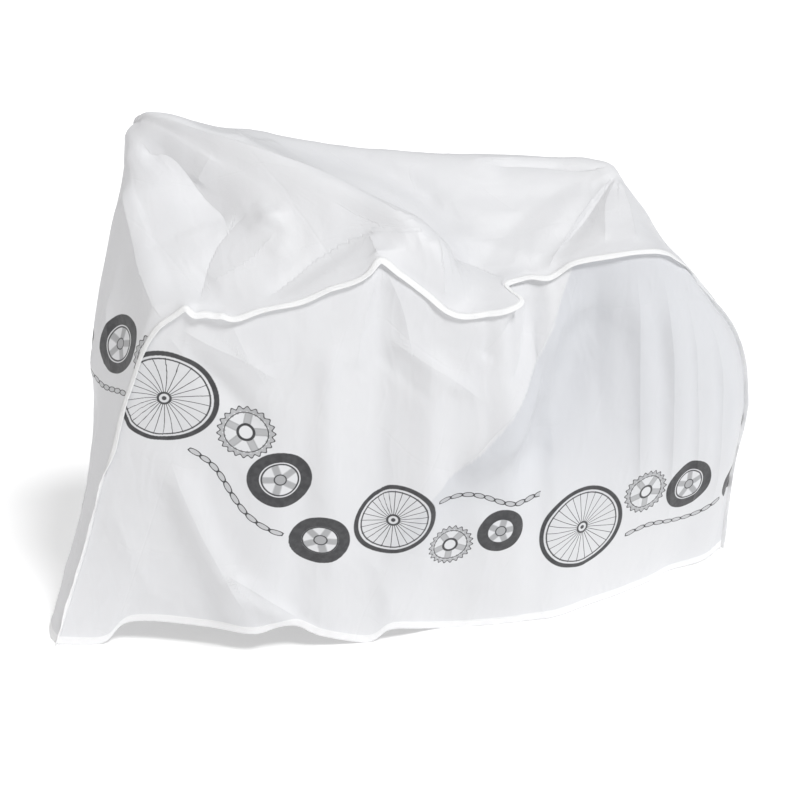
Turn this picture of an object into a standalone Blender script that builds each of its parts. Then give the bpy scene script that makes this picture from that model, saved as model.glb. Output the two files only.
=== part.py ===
"""Bicycle cover, draped as over a parked bicycle with its handlebar turned.

Front towards -X, rear towards +X, near side towards -Y, floor at z = 0. Metres.
Two side panels and one long centre strip meet at two bound seams. Each cloth is a thin sheet
on guide lines: a row of a table is one section or one fold, and the surface runs smoothly
through them. The hems are part of their cloths.
"""

import bpy
import numpy as np

# Driving sizes.
CLOTH = 0.002
HEM_CLOTH = 0.003
HEM_WIDTH = 0.020
BINDING_THICK = 0.003
BINDING_INSIDE = 0.002
BINDING_PROUD = 0.010
SEAM_GAP = 0.0004
SEAM_CLEAR = BINDING_THICK / 2 + SEAM_GAP
SEAM_SHARE_LEAST = 0.4
FOLD_FADE = 0.06
FOLD_END_HEIGHT = 0.25
CORNER_REACH = 7.0
TOP_REACH = 2.5
MIDDLE_X = 0.5898
MIDDLE_Y = 0.0362
FLOOR_Z = 0.0061

# How finely each cloth is drawn.
PANEL_ROWS = 14
PANEL_COLUMNS = 40
STRIP_ACROSS = 15

# Stations run along the strip: 0 front hem, 3 front corner of the side panel, 5 handlebar,
# 8 saddle, 13 rear hem. A panel's upper edge spans the two corner stations.
FRONT_CORNER = 3.0
REAR_CORNER = 9.4
LAST_STATION = 13.0

# station, x, y, z
NEAR_SEAM = (
    (0.0, -0.193, 0.011, 0.008),
    (0.5, -0.149, 0.000, 0.138),
    (1.0, -0.109, -0.020, 0.264),
    (1.5, -0.077, -0.050, 0.390),
    (2.0, -0.046, -0.072, 0.490),
    (2.5, -0.011, -0.100, 0.617),
    (3.0, 0.058, -0.150, 0.772),
    (3.2, 0.105, -0.170, 0.798),
    (3.5, 0.178, -0.190, 0.782),
    (3.8, 0.237, -0.200, 0.797),
    (4.0, 0.298, -0.210, 0.808),
    (4.3, 0.360, -0.215, 0.830),
    (4.6, 0.435, -0.220, 0.857),
    (4.7, 0.459, -0.212, 0.878),
    (4.85, 0.499, -0.225, 0.849),
    (5.0, 0.544, -0.240, 0.812),
    (5.2, 0.580, -0.252, 0.779),
    (5.6, 0.650, -0.262, 0.769),
    (5.9, 0.705, -0.255, 0.783),
    (6.0, 0.728, -0.220, 0.797),
    (6.5, 0.805, -0.200, 0.806),
    (7.0, 0.852, -0.200, 0.830),
    (7.6, 0.935, -0.210, 0.842),
    (8.0, 0.984, -0.210, 0.844),
    (8.6, 1.054, -0.200, 0.830),
    (9.0, 1.101, -0.180, 0.792),
    (9.4, 1.158, -0.120, 0.728),
    (10.0, 1.283, -0.060, 0.600),
    (11.0, 1.362, -0.020, 0.400),
    (12.0, 1.345, -0.020, 0.220),
    (13.0, 1.345, -0.010, 0.012),
)
FAR_SEAM = (
    (0.0, -0.110, 0.205, 0.008),
    (1.0, -0.045, 0.235, 0.260),
    (2.0, -0.005, 0.265, 0.510),
    (2.6, 0.020, 0.290, 0.660),
    (3.0, 0.060, 0.315, 0.790),
    (3.5, 0.110, 0.325, 0.835),
    (4.0, 0.175, 0.330, 0.850),
    (5.0, 0.300, 0.335, 0.870),
    (5.4, 0.410, 0.335, 0.862),
    (6.0, 0.600, 0.320, 0.840),
    (7.0, 0.880, 0.270, 0.828),
    (8.0, 1.020, 0.235, 0.825),
    (9.0, 1.110, 0.185, 0.770),
    (9.4, 1.160, 0.165, 0.722),
    (10.0, 1.262, 0.140, 0.600),
    (11.0, 1.352, 0.115, 0.400),
    (12.0, 1.328, 0.105, 0.220),
    (13.0, 1.340, 0.085, 0.012),
)

# The strip's sections between the two seams:
# station, near shoulder, near slope, crown, far slope
STRIP_SECTIONS = (
    (0.0, (-0.203, 0.045, 0.008), (-0.200, 0.090, 0.008), (-0.180, 0.135, 0.008), (-0.150, 0.175, 0.008)),
    (1.0, (-0.116, 0.035, 0.262), (-0.117, 0.085, 0.260), (-0.103, 0.140, 0.260), (-0.078, 0.190, 0.260)),
    (2.0, (-0.060, -0.010, 0.500), (-0.066, 0.060, 0.510), (-0.062, 0.130, 0.515), (-0.040, 0.200, 0.515)),
    (2.6, (-0.014, -0.045, 0.660), (-0.034, 0.040, 0.690), (-0.040, 0.125, 0.715), (-0.015, 0.210, 0.695)),
    (3.0, (0.052, -0.070, 0.825), (0.040, 0.030, 0.880), (0.037, 0.165, 0.975), (0.043, 0.245, 0.895)),
    (3.2, (0.088, -0.078, 0.835), (0.070, 0.030, 0.901), (0.042, 0.170, 1.003), (0.051, 0.248, 0.918)),
    (3.5, (0.140, -0.086, 0.846), (0.112, 0.029, 0.922), (0.049, 0.176, 1.028), (0.062, 0.251, 0.941)),
    (4.0, (0.228, -0.100, 0.862), (0.188, 0.025, 0.945), (0.058, 0.183, 1.054), (0.080, 0.252, 0.970)),
    (4.5, (0.392, -0.138, 0.896), (0.248, 0.014, 0.996), (0.072, 0.187, 1.078), (0.106, 0.252, 1.000)),
    (5.0, (0.553, -0.178, 0.910), (0.323, 0.010, 1.030), (0.098, 0.186, 1.090), (0.140, 0.250, 1.020)),
    (5.4, (0.618, -0.155, 0.852), (0.405, 0.048, 0.992), (0.215, 0.200, 1.050), (0.270, 0.272, 0.975)),
    (6.0, (0.695, -0.150, 0.830), (0.655, -0.030, 0.913), (0.540, 0.105, 1.000), (0.560, 0.215, 0.930)),
    (7.0, (0.880, -0.130, 0.870), (0.900, -0.050, 0.920), (0.880, 0.045, 0.972), (0.890, 0.155, 0.905)),
    (8.0, (1.004, -0.130, 0.877), (1.016, -0.060, 0.914), (1.022, 0.002, 0.946), (1.022, 0.115, 0.893)),
    (9.0, (1.108, -0.120, 0.797), (1.120, -0.060, 0.787), (1.130, 0.000, 0.768), (1.125, 0.090, 0.770)),
    (10.0, (1.292, -0.030, 0.600), (1.297, 0.000, 0.600), (1.299, 0.030, 0.600), (1.288, 0.090, 0.600)),
    (11.0, (1.372, 0.000, 0.400), (1.379, 0.020, 0.400), (1.382, 0.045, 0.400), (1.373, 0.080, 0.400)),
    (12.0, (1.353, 0.000, 0.220), (1.358, 0.018, 0.220), (1.360, 0.040, 0.220), (1.350, 0.075, 0.220)),
    (13.0, (1.353, 0.005, 0.012), (1.358, 0.020, 0.012), (1.359, 0.035, 0.012), (1.354, 0.060, 0.012)),
)

# A side panel's columns: station at its seam, x, y, z at its hem, outward belly at mid height,
# rearward bow at mid height
NEAR_COLUMNS = (
    (3.0, -0.193, 0.011, 0.008, 0.000, 0.000),
    (3.2, -0.107, -0.014, 0.008, 0.012, 0.000),
    (3.5, -0.040, -0.030, 0.061, 0.020, 0.000),
    (3.8, 0.099, -0.090, 0.064, 0.024, 0.000),
    (4.0, 0.195, -0.140, 0.060, 0.024, 0.000),
    (4.3, 0.278, -0.150, 0.074, 0.026, 0.000),
    (4.6, 0.361, -0.160, 0.031, 0.026, 0.000),
    (4.7, 0.422, -0.160, 0.010, 0.026, 0.000),
    (5.0, 0.498, -0.170, 0.036, 0.026, 0.000),
    (5.2, 0.586, -0.155, 0.012, 0.024, 0.000),
    (5.6, 0.692, -0.167, 0.008, 0.022, 0.000),
    (6.0, 0.803, -0.178, 0.008, 0.016, 0.000),
    (6.5, 0.870, -0.180, 0.008, 0.014, 0.000),
    (7.0, 0.967, -0.150, 0.008, 0.018, 0.000),
    (7.6, 1.050, -0.125, 0.008, 0.020, 0.012),
    (8.0, 1.110, -0.105, 0.008, 0.022, 0.030),
    (8.6, 1.191, -0.070, 0.008, 0.030, 0.066),
    (9.0, 1.275, -0.055, 0.010, 0.035, 0.106),
    (9.4, 1.345, -0.010, 0.012, 0.020, 0.108),
)
FAR_COLUMNS = (
    (3.0, -0.110, 0.205, 0.008, 0.000, 0.000),
    (3.5, -0.020, 0.225, 0.020, 0.014, 0.000),
    (4.0, 0.110, 0.235, 0.012, 0.020, 0.000),
    (5.0, 0.290, 0.262, 0.030, 0.022, 0.000),
    (5.4, 0.430, 0.255, 0.010, 0.024, 0.000),
    (6.0, 0.640, 0.262, 0.018, 0.024, 0.000),
    (7.0, 0.900, 0.235, 0.008, 0.022, 0.010),
    (8.0, 1.100, 0.180, 0.014, 0.020, 0.040),
    (9.0, 1.270, 0.115, 0.010, 0.016, 0.090),
    (9.4, 1.340, 0.085, 0.012, 0.010, 0.104),
)

# Folds: route over the cloth as seen from the side (x, z), half width, height (a groove is below 0)
NEAR_FOLDS = (
    (((0.850, 0.800), (0.802, 0.698), (0.759, 0.574), (0.708, 0.492), (0.600, 0.395)), 0.040, 0.024),
    (((0.925, 0.780), (0.880, 0.660), (0.850, 0.540), (0.800, 0.430), (0.720, 0.340)), 0.050, -0.022),
    (((0.475, 0.730), (0.560, 0.660), (0.640, 0.590)), 0.022, 0.008),
    (((0.365, 0.760), (0.350, 0.560), (0.340, 0.330)), 0.034, 0.012),
    (((0.560, 0.720), (0.560, 0.480), (0.545, 0.220)), 0.040, 0.012),
    (((0.060, 0.470), (0.133, 0.240), (0.205, 0.050)), 0.030, 0.014),
    (((0.152, 0.210), (0.230, 0.130), (0.310, 0.060)), 0.026, 0.012),
    (((0.090, 0.720), (0.180, 0.610), (0.230, 0.520)), 0.028, -0.010),
    (((0.985, 0.780), (1.030, 0.540), (1.065, 0.280)), 0.026, 0.012),
    (((1.060, 0.760), (1.110, 0.540), (1.145, 0.270)), 0.026, 0.012),
    (((1.130, 0.690), (1.185, 0.500), (1.215, 0.260)), 0.026, 0.011),
    (((1.210, 0.600), (1.260, 0.460), (1.275, 0.240)), 0.024, 0.010),
)
FAR_FOLDS = (
    (((0.180, 0.760), (0.120, 0.480), (0.090, 0.120)), 0.050, 0.018),
    (((0.400, 0.760), (0.380, 0.460), (0.350, 0.100)), 0.055, 0.018),
    (((0.620, 0.740), (0.640, 0.440), (0.620, 0.080)), 0.055, 0.020),
    (((0.820, 0.740), (0.880, 0.480), (0.900, 0.100)), 0.050, -0.018),
    (((1.000, 0.740), (1.080, 0.480), (1.120, 0.140)), 0.045, 0.016),
    (((1.130, 0.640), (1.200, 0.440), (1.230, 0.180)), 0.035, 0.012),
)
# The strip's folds: route (x, y, z), half width, height
STRIP_FOLDS = (
    (((0.280, -0.045, 0.930), (0.292, -0.070, 0.910)), 0.034, 0.014),
    (((0.245, -0.195, 0.815), (0.378, -0.160, 0.880), (0.448, -0.150, 0.908)), 0.020, -0.008),
    (((1.010, -0.010, 0.938), (0.900, -0.110, 0.880), (0.800, -0.185, 0.815)), 0.028, -0.012),
    (((1.010, 0.010, 0.940), (0.930, 0.110, 0.920), (0.860, 0.230, 0.850)), 0.030, -0.012),
    (((0.460, 0.125, 1.005), (0.580, 0.020, 0.955), (0.680, -0.100, 0.865)), 0.034, -0.012),
    (((0.300, 0.200, 1.035), (0.420, 0.270, 0.960), (0.480, 0.315, 0.880)), 0.034, 0.014),
    (((1.080, -0.020, 0.860), (1.180, 0.010, 0.710), (1.300, 0.020, 0.560)), 0.040, 0.010),
    (((-0.062, 0.080, 0.540), (-0.090, 0.090, 0.400), (-0.112, 0.095, 0.270)), 0.034, -0.012),
    (((0.000, 0.020, 0.760), (-0.040, 0.060, 0.640), (-0.050, 0.090, 0.560)), 0.030, 0.010),
)

# Where the cloth lies over something round: place, radius, rounds of easing
ROUNDED_PLACES = (
    ((0.080, 0.190, 1.070), 0.050, 2),
    ((0.556, -0.180, 0.905), 0.045, 1),
    ((1.022, 0.002, 0.946), 0.030, 1),
)

CLOTH_COLOUR = (0.86, 0.87, 0.89, 1.0)
BINDING_COLOUR = (0.95, 0.95, 0.95, 1.0)


def unit(vectors):
    return vectors / np.maximum(np.linalg.norm(vectors, axis=-1, keepdims=True), 1e-12)


def ease(t):
    t = np.clip(t, 0.0, 1.0)
    return t * t * (3.0 - 2.0 * t)


def through(stations, points, wanted):
    """Smooth curve through points at uneven stations, read at the wanted stations."""
    s, p = np.asarray(stations, float), np.asarray(points, float)
    run = np.diff(s)
    slope = np.diff(p, axis=0) / run[:, None]
    tangent = np.empty_like(p)
    tangent[1:-1] = (slope[:-1] * run[1:, None] + slope[1:] * run[:-1, None]) / (run[:-1] + run[1:])[:, None]
    tangent[0], tangent[-1] = slope[0], slope[-1]
    wanted = np.asarray(wanted, float)
    i = np.clip(np.searchsorted(s, wanted, side="right") - 1, 0, len(s) - 2)
    t = ((wanted - s[i]) / run[i])[:, None]
    step = run[i][:, None]
    return (
        (2 * t**3 - 3 * t**2 + 1) * p[i]
        + (t**3 - 2 * t**2 + t) * step * tangent[i]
        + (3 * t**2 - 2 * t**3) * p[i + 1]
        + (t**3 - t**2) * step * tangent[i + 1]
    )


def even_stations(seam, first, last, steps, end_length=0.0):
    """Stations evenly spaced by length along a seam, the last step fixed where end_length is given."""
    table = np.array(seam)
    fine = np.linspace(first, last, 600)
    places = through(table[:, 0], table[:, 1:], fine)
    length = np.concatenate([[0.0], np.cumsum(np.linalg.norm(np.diff(places, axis=0), axis=1))])
    if end_length:
        marks = np.append(np.linspace(0.0, length[-1] - end_length, steps), length[-1])
    else:
        marks = np.linspace(0.0, length[-1], steps + 1)
    return np.interp(marks, length, fine)


def seam_stations(seam):
    """The seam's samples in three spans: up the front, along the top, down the rear."""
    front = even_stations(seam, FRONT_CORNER, 0.0, PANEL_ROWS, HEM_WIDTH)[::-1]
    top = even_stations(seam, FRONT_CORNER, REAR_CORNER, PANEL_COLUMNS)
    rear = even_stations(seam, REAR_CORNER, LAST_STATION, PANEL_ROWS, HEM_WIDTH)
    return np.concatenate([front, top[1:], rear[1:]])


def seam_line(seam):
    table = np.array(seam)
    return through(table[:, 0], table[:, 1:], seam_stations(seam))


def distance_to_route(points, route):
    """Distance of each point to a polyline, and how far along it the nearest place is (0 to 1)."""
    route = np.asarray(route, float)
    legs = np.diff(route, axis=0)
    lengths = np.linalg.norm(legs, axis=1)
    starts = np.concatenate([[0.0], np.cumsum(lengths)])
    nearest = np.full(points.shape[:-1], np.inf)
    along = np.zeros(points.shape[:-1])
    for start, leg, length, begun in zip(route[:-1], legs, lengths, starts):
        t = np.clip((points - start) @ leg / length**2, 0.0, 1.0)
        away = np.linalg.norm(points - start - t[..., None] * leg, axis=-1)
        closer = away < nearest
        nearest = np.where(closer, away, nearest)
        along = np.where(closer, (begun + t * length) / starts[-1], along)
    return nearest, along


def grid_normals(grid, outward):
    """Unit normals of a grid of points, all on the outward side."""
    return unit(np.cross(np.gradient(grid, axis=0), np.gradient(grid, axis=1))) * outward


def edge_fade(count):
    """0 at both ends of a run of grid lines and 1 a few lines in."""
    inside = np.minimum(np.arange(count), np.arange(count)[::-1])
    return ease(inside / (FOLD_FADE * count + 1.0))


def raised(grid, folds, axes, outward, fade):
    """The grid with each fold raised or sunk along the cloth's normal, lower towards its ends."""
    height = np.zeros(grid.shape[:2])
    for route, half_width, rise in folds:
        away, along = distance_to_route(grid[..., axes], route)
        ends = FOLD_END_HEIGHT + (1.0 - FOLD_END_HEIGHT) * ease(along / 0.2) * ease((1.0 - along) / 0.25)
        height += rise * ends * np.exp(-((away / half_width) ** 2))
    return grid + grid_normals(grid, outward) * (height * fade)[..., None]


def eased(grid, centre, radius, rounds):
    """The grid with its points near a place drawn towards the mean of their neighbours."""
    for _ in range(rounds):
        near = np.exp(-((np.linalg.norm(grid - centre, axis=-1) / radius) ** 2))[1:-1, 1:-1, None]
        around = (grid[:-2, 1:-1] + grid[2:, 1:-1] + grid[1:-1, :-2] + grid[1:-1, 2:]) / 4.0
        grid[1:-1, 1:-1] += (around - grid[1:-1, 1:-1]) * near
    return grid


def strip_grid():
    """Centre strip: rows from front hem to rear hem, columns from near seam to far seam."""
    stations = seam_stations(NEAR_SEAM)
    lines = [seam_line(NEAR_SEAM)]
    own = [row[0] for row in STRIP_SECTIONS]
    for column in range(1, 5):
        lines.append(through(own, [row[column] for row in STRIP_SECTIONS], stations))
    lines.append(seam_line(FAR_SEAM))
    lines = np.array(lines)
    across = np.linspace(0.0, len(lines) - 1.0, STRIP_ACROSS + 1)
    sections = [through(np.arange(len(lines)), lines[:, k], across) for k in range(len(stations))]
    grid = np.array(sections)
    grid = raised(grid, STRIP_FOLDS, [0, 1, 2], 1.0, edge_fade(grid.shape[1])[None, :])
    for centre, radius, rounds in ROUNDED_PLACES:
        grid = eased(grid, np.array(centre), radius, rounds)
    return grid


def panel_grid(seam, columns, folds, outward):
    """Side panel: rows of the grid from front to rear, columns from the seam down to the hem."""
    line = seam_line(seam)
    front = line[: PANEL_ROWS + 1][::-1]
    top = line[PANEL_ROWS : PANEL_ROWS + PANEL_COLUMNS + 1]
    rear = line[PANEL_ROWS + PANEL_COLUMNS :]
    stations = even_stations(seam, FRONT_CORNER, REAR_CORNER, PANEL_COLUMNS)
    table = np.array(columns)
    hem = through(table[:, 0], table[:, 1:4], stations)
    belly, bow = through(table[:, 0], table[:, 4:6], stations).T
    drop = np.linalg.norm(top - hem, axis=1)
    share = 1.0 - HEM_WIDTH / drop
    grid = np.empty((PANEL_COLUMNS + 1, PANEL_ROWS + 1, 3))
    for j in range(PANEL_ROWS + 1):
        down = np.ones_like(share) if j == PANEL_ROWS else share * j / (PANEL_ROWS - 1.0)
        bulge = 4.0 * down * (1.0 - down)
        grid[:, j] = top + (hem - top) * down[:, None]
        grid[:, j, 1] += np.sign(hem[:, 1].mean()) * belly * bulge
        grid[:, j, 0] += bow * bulge
    reach = ease(1.0 - np.arange(PANEL_COLUMNS + 1) / CORNER_REACH)
    grid += (front - grid[0])[None] * reach[:, None, None]
    grid += (rear - grid[-1])[None] * reach[::-1][:, None, None]
    fade = edge_fade(PANEL_COLUMNS + 1)[:, None] * ease(np.arange(PANEL_ROWS + 1) / TOP_REACH)[None, :]
    return raised(grid, folds, [0, 2], outward, fade)


def set_back(edge, inside, line, side):
    """Moves an edge over its cloth, square to the seam, to leave room for the binding."""
    tangent = unit(np.gradient(line, axis=0))
    inward = inside - edge
    inward = unit(inward - tangent * np.sum(inward * tangent, axis=1, keepdims=True))
    share = np.clip(np.abs(np.sum(inward * side, axis=1)), SEAM_SHARE_LEAST, 1.0)
    return inward * (SEAM_CLEAR / share)[:, None]


def panel_border(grid):
    """The seam side of a panel's grid, from front hem over the top to the rear hem, and one line in."""
    edge = np.concatenate([grid[0, ::-1], grid[1:, 0], grid[-1, 1:]])
    inner = np.concatenate([grid[1, :0:-1], grid[1:2, 1], grid[1:-1, 1], grid[-2:-1, 1], grid[-2, 1:]])
    return edge, inner


def put_border(grid, edge):
    rows, columns = grid.shape[1], grid.shape[0]
    grid[0, ::-1] = edge[:rows]
    grid[1:, 0] = edge[rows : rows + columns - 1]
    grid[-1, 1:] = edge[rows + columns - 1 :]


def seam_frames(line, first_normals, second_normals):
    """Outward and sideways directions of a binding along its seam."""
    out = unit(first_normals + second_normals)
    for _ in range(3):
        out[1:-1] = unit(out[:-2] + 2.0 * out[1:-1] + out[2:])
    tangent = unit(np.gradient(line, axis=0))
    out = unit(out - tangent * np.sum(out * tangent, axis=1, keepdims=True))
    return out, unit(np.cross(out, tangent))


def closed_sheet(name, outer, inner, outward, material):
    """One closed body from two grids of the same size, each square split along its shorter
    diagonal on both sides alike, so that the cloth keeps its thickness."""
    across, down = outer.shape[:2]
    count = across * down
    points = np.concatenate([outer.reshape(-1, 3), inner.reshape(-1, 3)])
    index = np.arange(count).reshape(across, down)
    faces = []
    for i in range(across - 1):
        for j in range(down - 1):
            a, b, c, d = index[i, j], index[i + 1, j], index[i + 1, j + 1], index[i, j + 1]
            if np.linalg.norm(points[a] - points[c]) > np.linalg.norm(points[b] - points[d]):
                a, b, c, d = b, c, d, a
            for triangle in ((a, b, c), (a, c, d)):
                faces.append(triangle)
                faces.append(tuple(corner + count for corner in reversed(triangle)))
    border = list(index[:, 0]) + list(index[-1, 1:]) + list(index[-2::-1, -1]) + list(index[0, -2:0:-1])
    for a, b in zip(border, border[1:] + border[:1]):
        faces.append((b, a, a + count, b + count))
    if outward < 0:
        faces = [tuple(reversed(face)) for face in faces]
    return made(name, points, faces, material)


def closed_bar(name, rings, material):
    """A bar of flat-sided rings, closed at both ends."""
    count, sides = rings.shape[:2]
    points = rings.reshape(-1, 3)
    faces = []
    for k in range(count - 1):
        for j in range(sides):
            a, b = k * sides + j, k * sides + (j + 1) % sides
            faces.append((a, b, b + sides, a + sides))
    faces.append(tuple(range(sides))[::-1])
    faces.append(tuple((count - 1) * sides + j for j in range(sides)))
    return made(name, points, faces, material)


def made(name, points, faces, material):
    mesh = bpy.data.meshes.new(name)
    placed = np.asarray(points) - (MIDDLE_X, MIDDLE_Y, FLOOR_Z)
    mesh.from_pydata(placed.tolist(), [], [tuple(int(v) for v in face) for face in faces])
    mesh.validate()
    mesh.materials.append(material)
    mesh.shade_smooth()
    node = bpy.data.objects.new(name, mesh)
    bpy.context.scene.collection.objects.link(node)
    return node


def plain_material(name, colour, roughness):
    material = bpy.data.materials.new(name)
    material.use_nodes = True
    shader = material.node_tree.nodes["Principled BSDF"]
    shader.inputs["Base Color"].default_value = colour
    shader.inputs["Roughness"].default_value = roughness
    shader.inputs["Metallic"].default_value = 0.0
    return material


def binding(name, line, out, side, material):
    """Folded tape standing on a seam: a thin fin with a rounded outer edge."""
    half = BINDING_THICK / 2
    profile = (
        (-half, -BINDING_INSIDE),
        (half, -BINDING_INSIDE),
        (half, BINDING_PROUD - half),
        (half / 2, BINDING_PROUD),
        (-half / 2, BINDING_PROUD),
        (-half, BINDING_PROUD - half),
    )
    rings = np.stack([line + side * across + out * proud for across, proud in profile], axis=1)
    return closed_bar(name, rings, material)


def sheet(name, grid, lean, outward, hem_lines, material):
    """A cloth from its outer grid and the directions in which its thickness is measured."""
    thickness = np.full(grid.shape[:2], CLOTH)
    for line in hem_lines:
        thickness[line] = HEM_CLOTH
    inner = grid - lean * thickness[..., None]
    return closed_sheet(name, grid, inner, outward, material)


def build():
    for thing in list(bpy.data.objects):
        bpy.data.objects.remove(thing, do_unlink=True)
    cloth = plain_material("coated_cloth", CLOTH_COLOUR, 0.45)
    tape = plain_material("binding_tape", BINDING_COLOUR, 0.55)

    strip = strip_grid()
    strip_lean = grid_normals(strip, 1.0)
    panels = (
        ("near", NEAR_SEAM, NEAR_COLUMNS, NEAR_FOLDS, -1.0, 0),
        ("far", FAR_SEAM, FAR_COLUMNS, FAR_FOLDS, 1.0, -1),
    )
    for side_name, seam, columns, folds, outward, strip_edge in panels:
        panel = panel_grid(seam, columns, folds, outward)
        panel_lean = grid_normals(panel, outward)
        line = seam_line(seam)
        edge, inner = panel_border(panel)
        edge_lean = panel_border(panel_lean)[0]
        out, side = seam_frames(line, edge_lean, strip_lean[:, strip_edge])

        put_border(panel, edge + set_back(edge, inner, line, side))
        put_border(panel_lean, out)
        strip_inside = strip[:, 1 if strip_edge == 0 else -2]
        strip[:, strip_edge] += set_back(strip[:, strip_edge], strip_inside, line, side)
        strip_lean[:, strip_edge] = out

        hem = ((slice(None), slice(-2, None)),)
        sheet(f"{side_name}_side_panel", panel, panel_lean, outward, hem, cloth)
        binding(f"{side_name}_seam_binding", line, out, side, tape)
    ends = ((slice(0, 2), slice(None)), (slice(-2, None), slice(None)))
    sheet("centre_strip", strip, strip_lean, 1.0, ends, cloth)


build()
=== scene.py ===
"""Looks of the bicycle cover: three cloths with their folds, two seam bindings and the stitching."""

import math

import bpy
import numpy as np
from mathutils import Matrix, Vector, noise


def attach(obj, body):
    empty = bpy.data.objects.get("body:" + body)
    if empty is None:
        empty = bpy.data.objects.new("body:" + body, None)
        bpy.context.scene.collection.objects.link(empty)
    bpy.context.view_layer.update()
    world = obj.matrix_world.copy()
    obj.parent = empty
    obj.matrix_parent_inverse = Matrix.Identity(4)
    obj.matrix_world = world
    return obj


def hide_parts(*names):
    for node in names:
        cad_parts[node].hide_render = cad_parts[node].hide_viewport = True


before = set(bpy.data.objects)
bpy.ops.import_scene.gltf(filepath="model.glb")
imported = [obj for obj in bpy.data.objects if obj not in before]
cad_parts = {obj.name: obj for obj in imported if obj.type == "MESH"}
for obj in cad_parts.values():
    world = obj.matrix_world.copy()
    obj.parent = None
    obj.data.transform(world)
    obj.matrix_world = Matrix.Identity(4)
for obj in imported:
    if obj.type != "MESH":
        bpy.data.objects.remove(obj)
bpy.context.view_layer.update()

# Sizes in metres, leans in radians.
CLOTH = 0.0014
HEM_CLOTH = 0.0022
HEM_WIDTH = 0.020
HEM_STEP = 0.0011
HEM_ROLL = 0.0015
HEM_EDGE = 0.0025
TAPE_THICK = 0.0026
TAPE_INSIDE = 0.003
TAPE_FOOT = 0.0015
TAPE_PROUD = 0.0092
TAPE_STEP = 0.0035
TAPE_LEAN = 1.25
TAPE_LEAN_LOW = 0.30
STITCH = 0.0034
STITCH_PITCH = 0.0052
STITCH_HEIGHT = 0.0038
STITCH_MARGIN = 0.006
HEM_STITCH_MARGIN = 0.008
THREAD = 0.00045
PACKING_WIDTH = 0.0045
CREASE_LINE = 0.0034
MIDDLE = np.array((0.5898, 0.0362, 0.0061))
UP = np.array((0.0, 0.0, 1.0))

# How folds fade near the seams and at their ends, and how far a panel's ends follow its seam.
FOLD_FADE = 0.06
FOLD_END_HEIGHT = 0.25
CORNER_SHARE = 7.0 / 40.0
TOP_SHARE = 2.5 / 14.0
PANEL_FADE_LINES = 41
STRIP_FADE_LINES = 16

# How finely each cloth is drawn: lines of its grid.
PANEL_ROWS = 116
HEM_ROWS = 8
HEM_ENDS = slice(6, -6)
PANEL_COLUMNS = 400
STRIP_END_ROWS = 108
STRIP_TOP_ROWS = 310
STRIP_ACROSS = 92
SEAM_SAMPLES = 1200

# Creases: how round and how crisp they are, and over how many lines they fade at seams and ends.
CREASE_ROUNDING = 0.0024
CRISP_LEAST = 0.6
LINE_WINDOW = 0.018
LINE_FULL_RISE = 0.006
SEAM_FADE_LINES = 5.0
END_FADE_LINES = 8.0

# Rounded places: their radius and rounds on this grid against those of the table.
FINE_RADIUS = 0.6
FINE_ROUNDS = 14
# Rounds that even out a seam's outward directions.
FRAME_ROUNDS = 40

# Stations of a seam at its corners and at its rear end.
FRONT_CORNER = 3.0
REAR_CORNER = 9.4
LAST_STATION = 13.0


# The seams: station, x, y, z
NEAR_SEAM = (
    (0.0, -0.193, 0.011, 0.008),
    (0.5, -0.149, 0.000, 0.138),
    (1.0, -0.109, -0.020, 0.264),
    (1.5, -0.077, -0.050, 0.390),
    (2.0, -0.046, -0.072, 0.490),
    (2.5, -0.011, -0.100, 0.617),
    (3.0, 0.058, -0.150, 0.772),
    (3.2, 0.105, -0.170, 0.798),
    (3.5, 0.178, -0.190, 0.782),
    (3.8, 0.237, -0.200, 0.797),
    (4.0, 0.298, -0.210, 0.808),
    (4.3, 0.360, -0.215, 0.830),
    (4.6, 0.435, -0.220, 0.857),
    (4.7, 0.459, -0.212, 0.878),
    (4.85, 0.499, -0.225, 0.849),
    (5.0, 0.544, -0.240, 0.812),
    (5.2, 0.580, -0.252, 0.779),
    (5.6, 0.650, -0.262, 0.769),
    (5.9, 0.705, -0.255, 0.783),
    (6.0, 0.728, -0.220, 0.797),
    (6.5, 0.805, -0.200, 0.806),
    (7.0, 0.852, -0.200, 0.830),
    (7.6, 0.935, -0.210, 0.842),
    (8.0, 0.984, -0.210, 0.844),
    (8.6, 1.054, -0.200, 0.830),
    (9.0, 1.101, -0.180, 0.792),
    (9.4, 1.158, -0.120, 0.728),
    (10.0, 1.283, -0.060, 0.600),
    (11.0, 1.362, -0.020, 0.400),
    (12.0, 1.345, -0.020, 0.220),
    (13.0, 1.345, -0.010, 0.012),
)
FAR_SEAM = (
    (0.0, -0.110, 0.205, 0.008),
    (1.0, -0.045, 0.235, 0.260),
    (2.0, -0.005, 0.265, 0.510),
    (2.6, 0.020, 0.290, 0.660),
    (3.0, 0.060, 0.315, 0.790),
    (3.5, 0.110, 0.325, 0.835),
    (4.0, 0.175, 0.330, 0.850),
    (5.0, 0.300, 0.335, 0.870),
    (5.4, 0.410, 0.335, 0.862),
    (6.0, 0.600, 0.320, 0.840),
    (7.0, 0.880, 0.270, 0.828),
    (8.0, 1.020, 0.235, 0.825),
    (9.0, 1.110, 0.185, 0.770),
    (9.4, 1.160, 0.165, 0.722),
    (10.0, 1.262, 0.140, 0.600),
    (11.0, 1.352, 0.115, 0.400),
    (12.0, 1.328, 0.105, 0.220),
    (13.0, 1.340, 0.085, 0.012),
)

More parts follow.
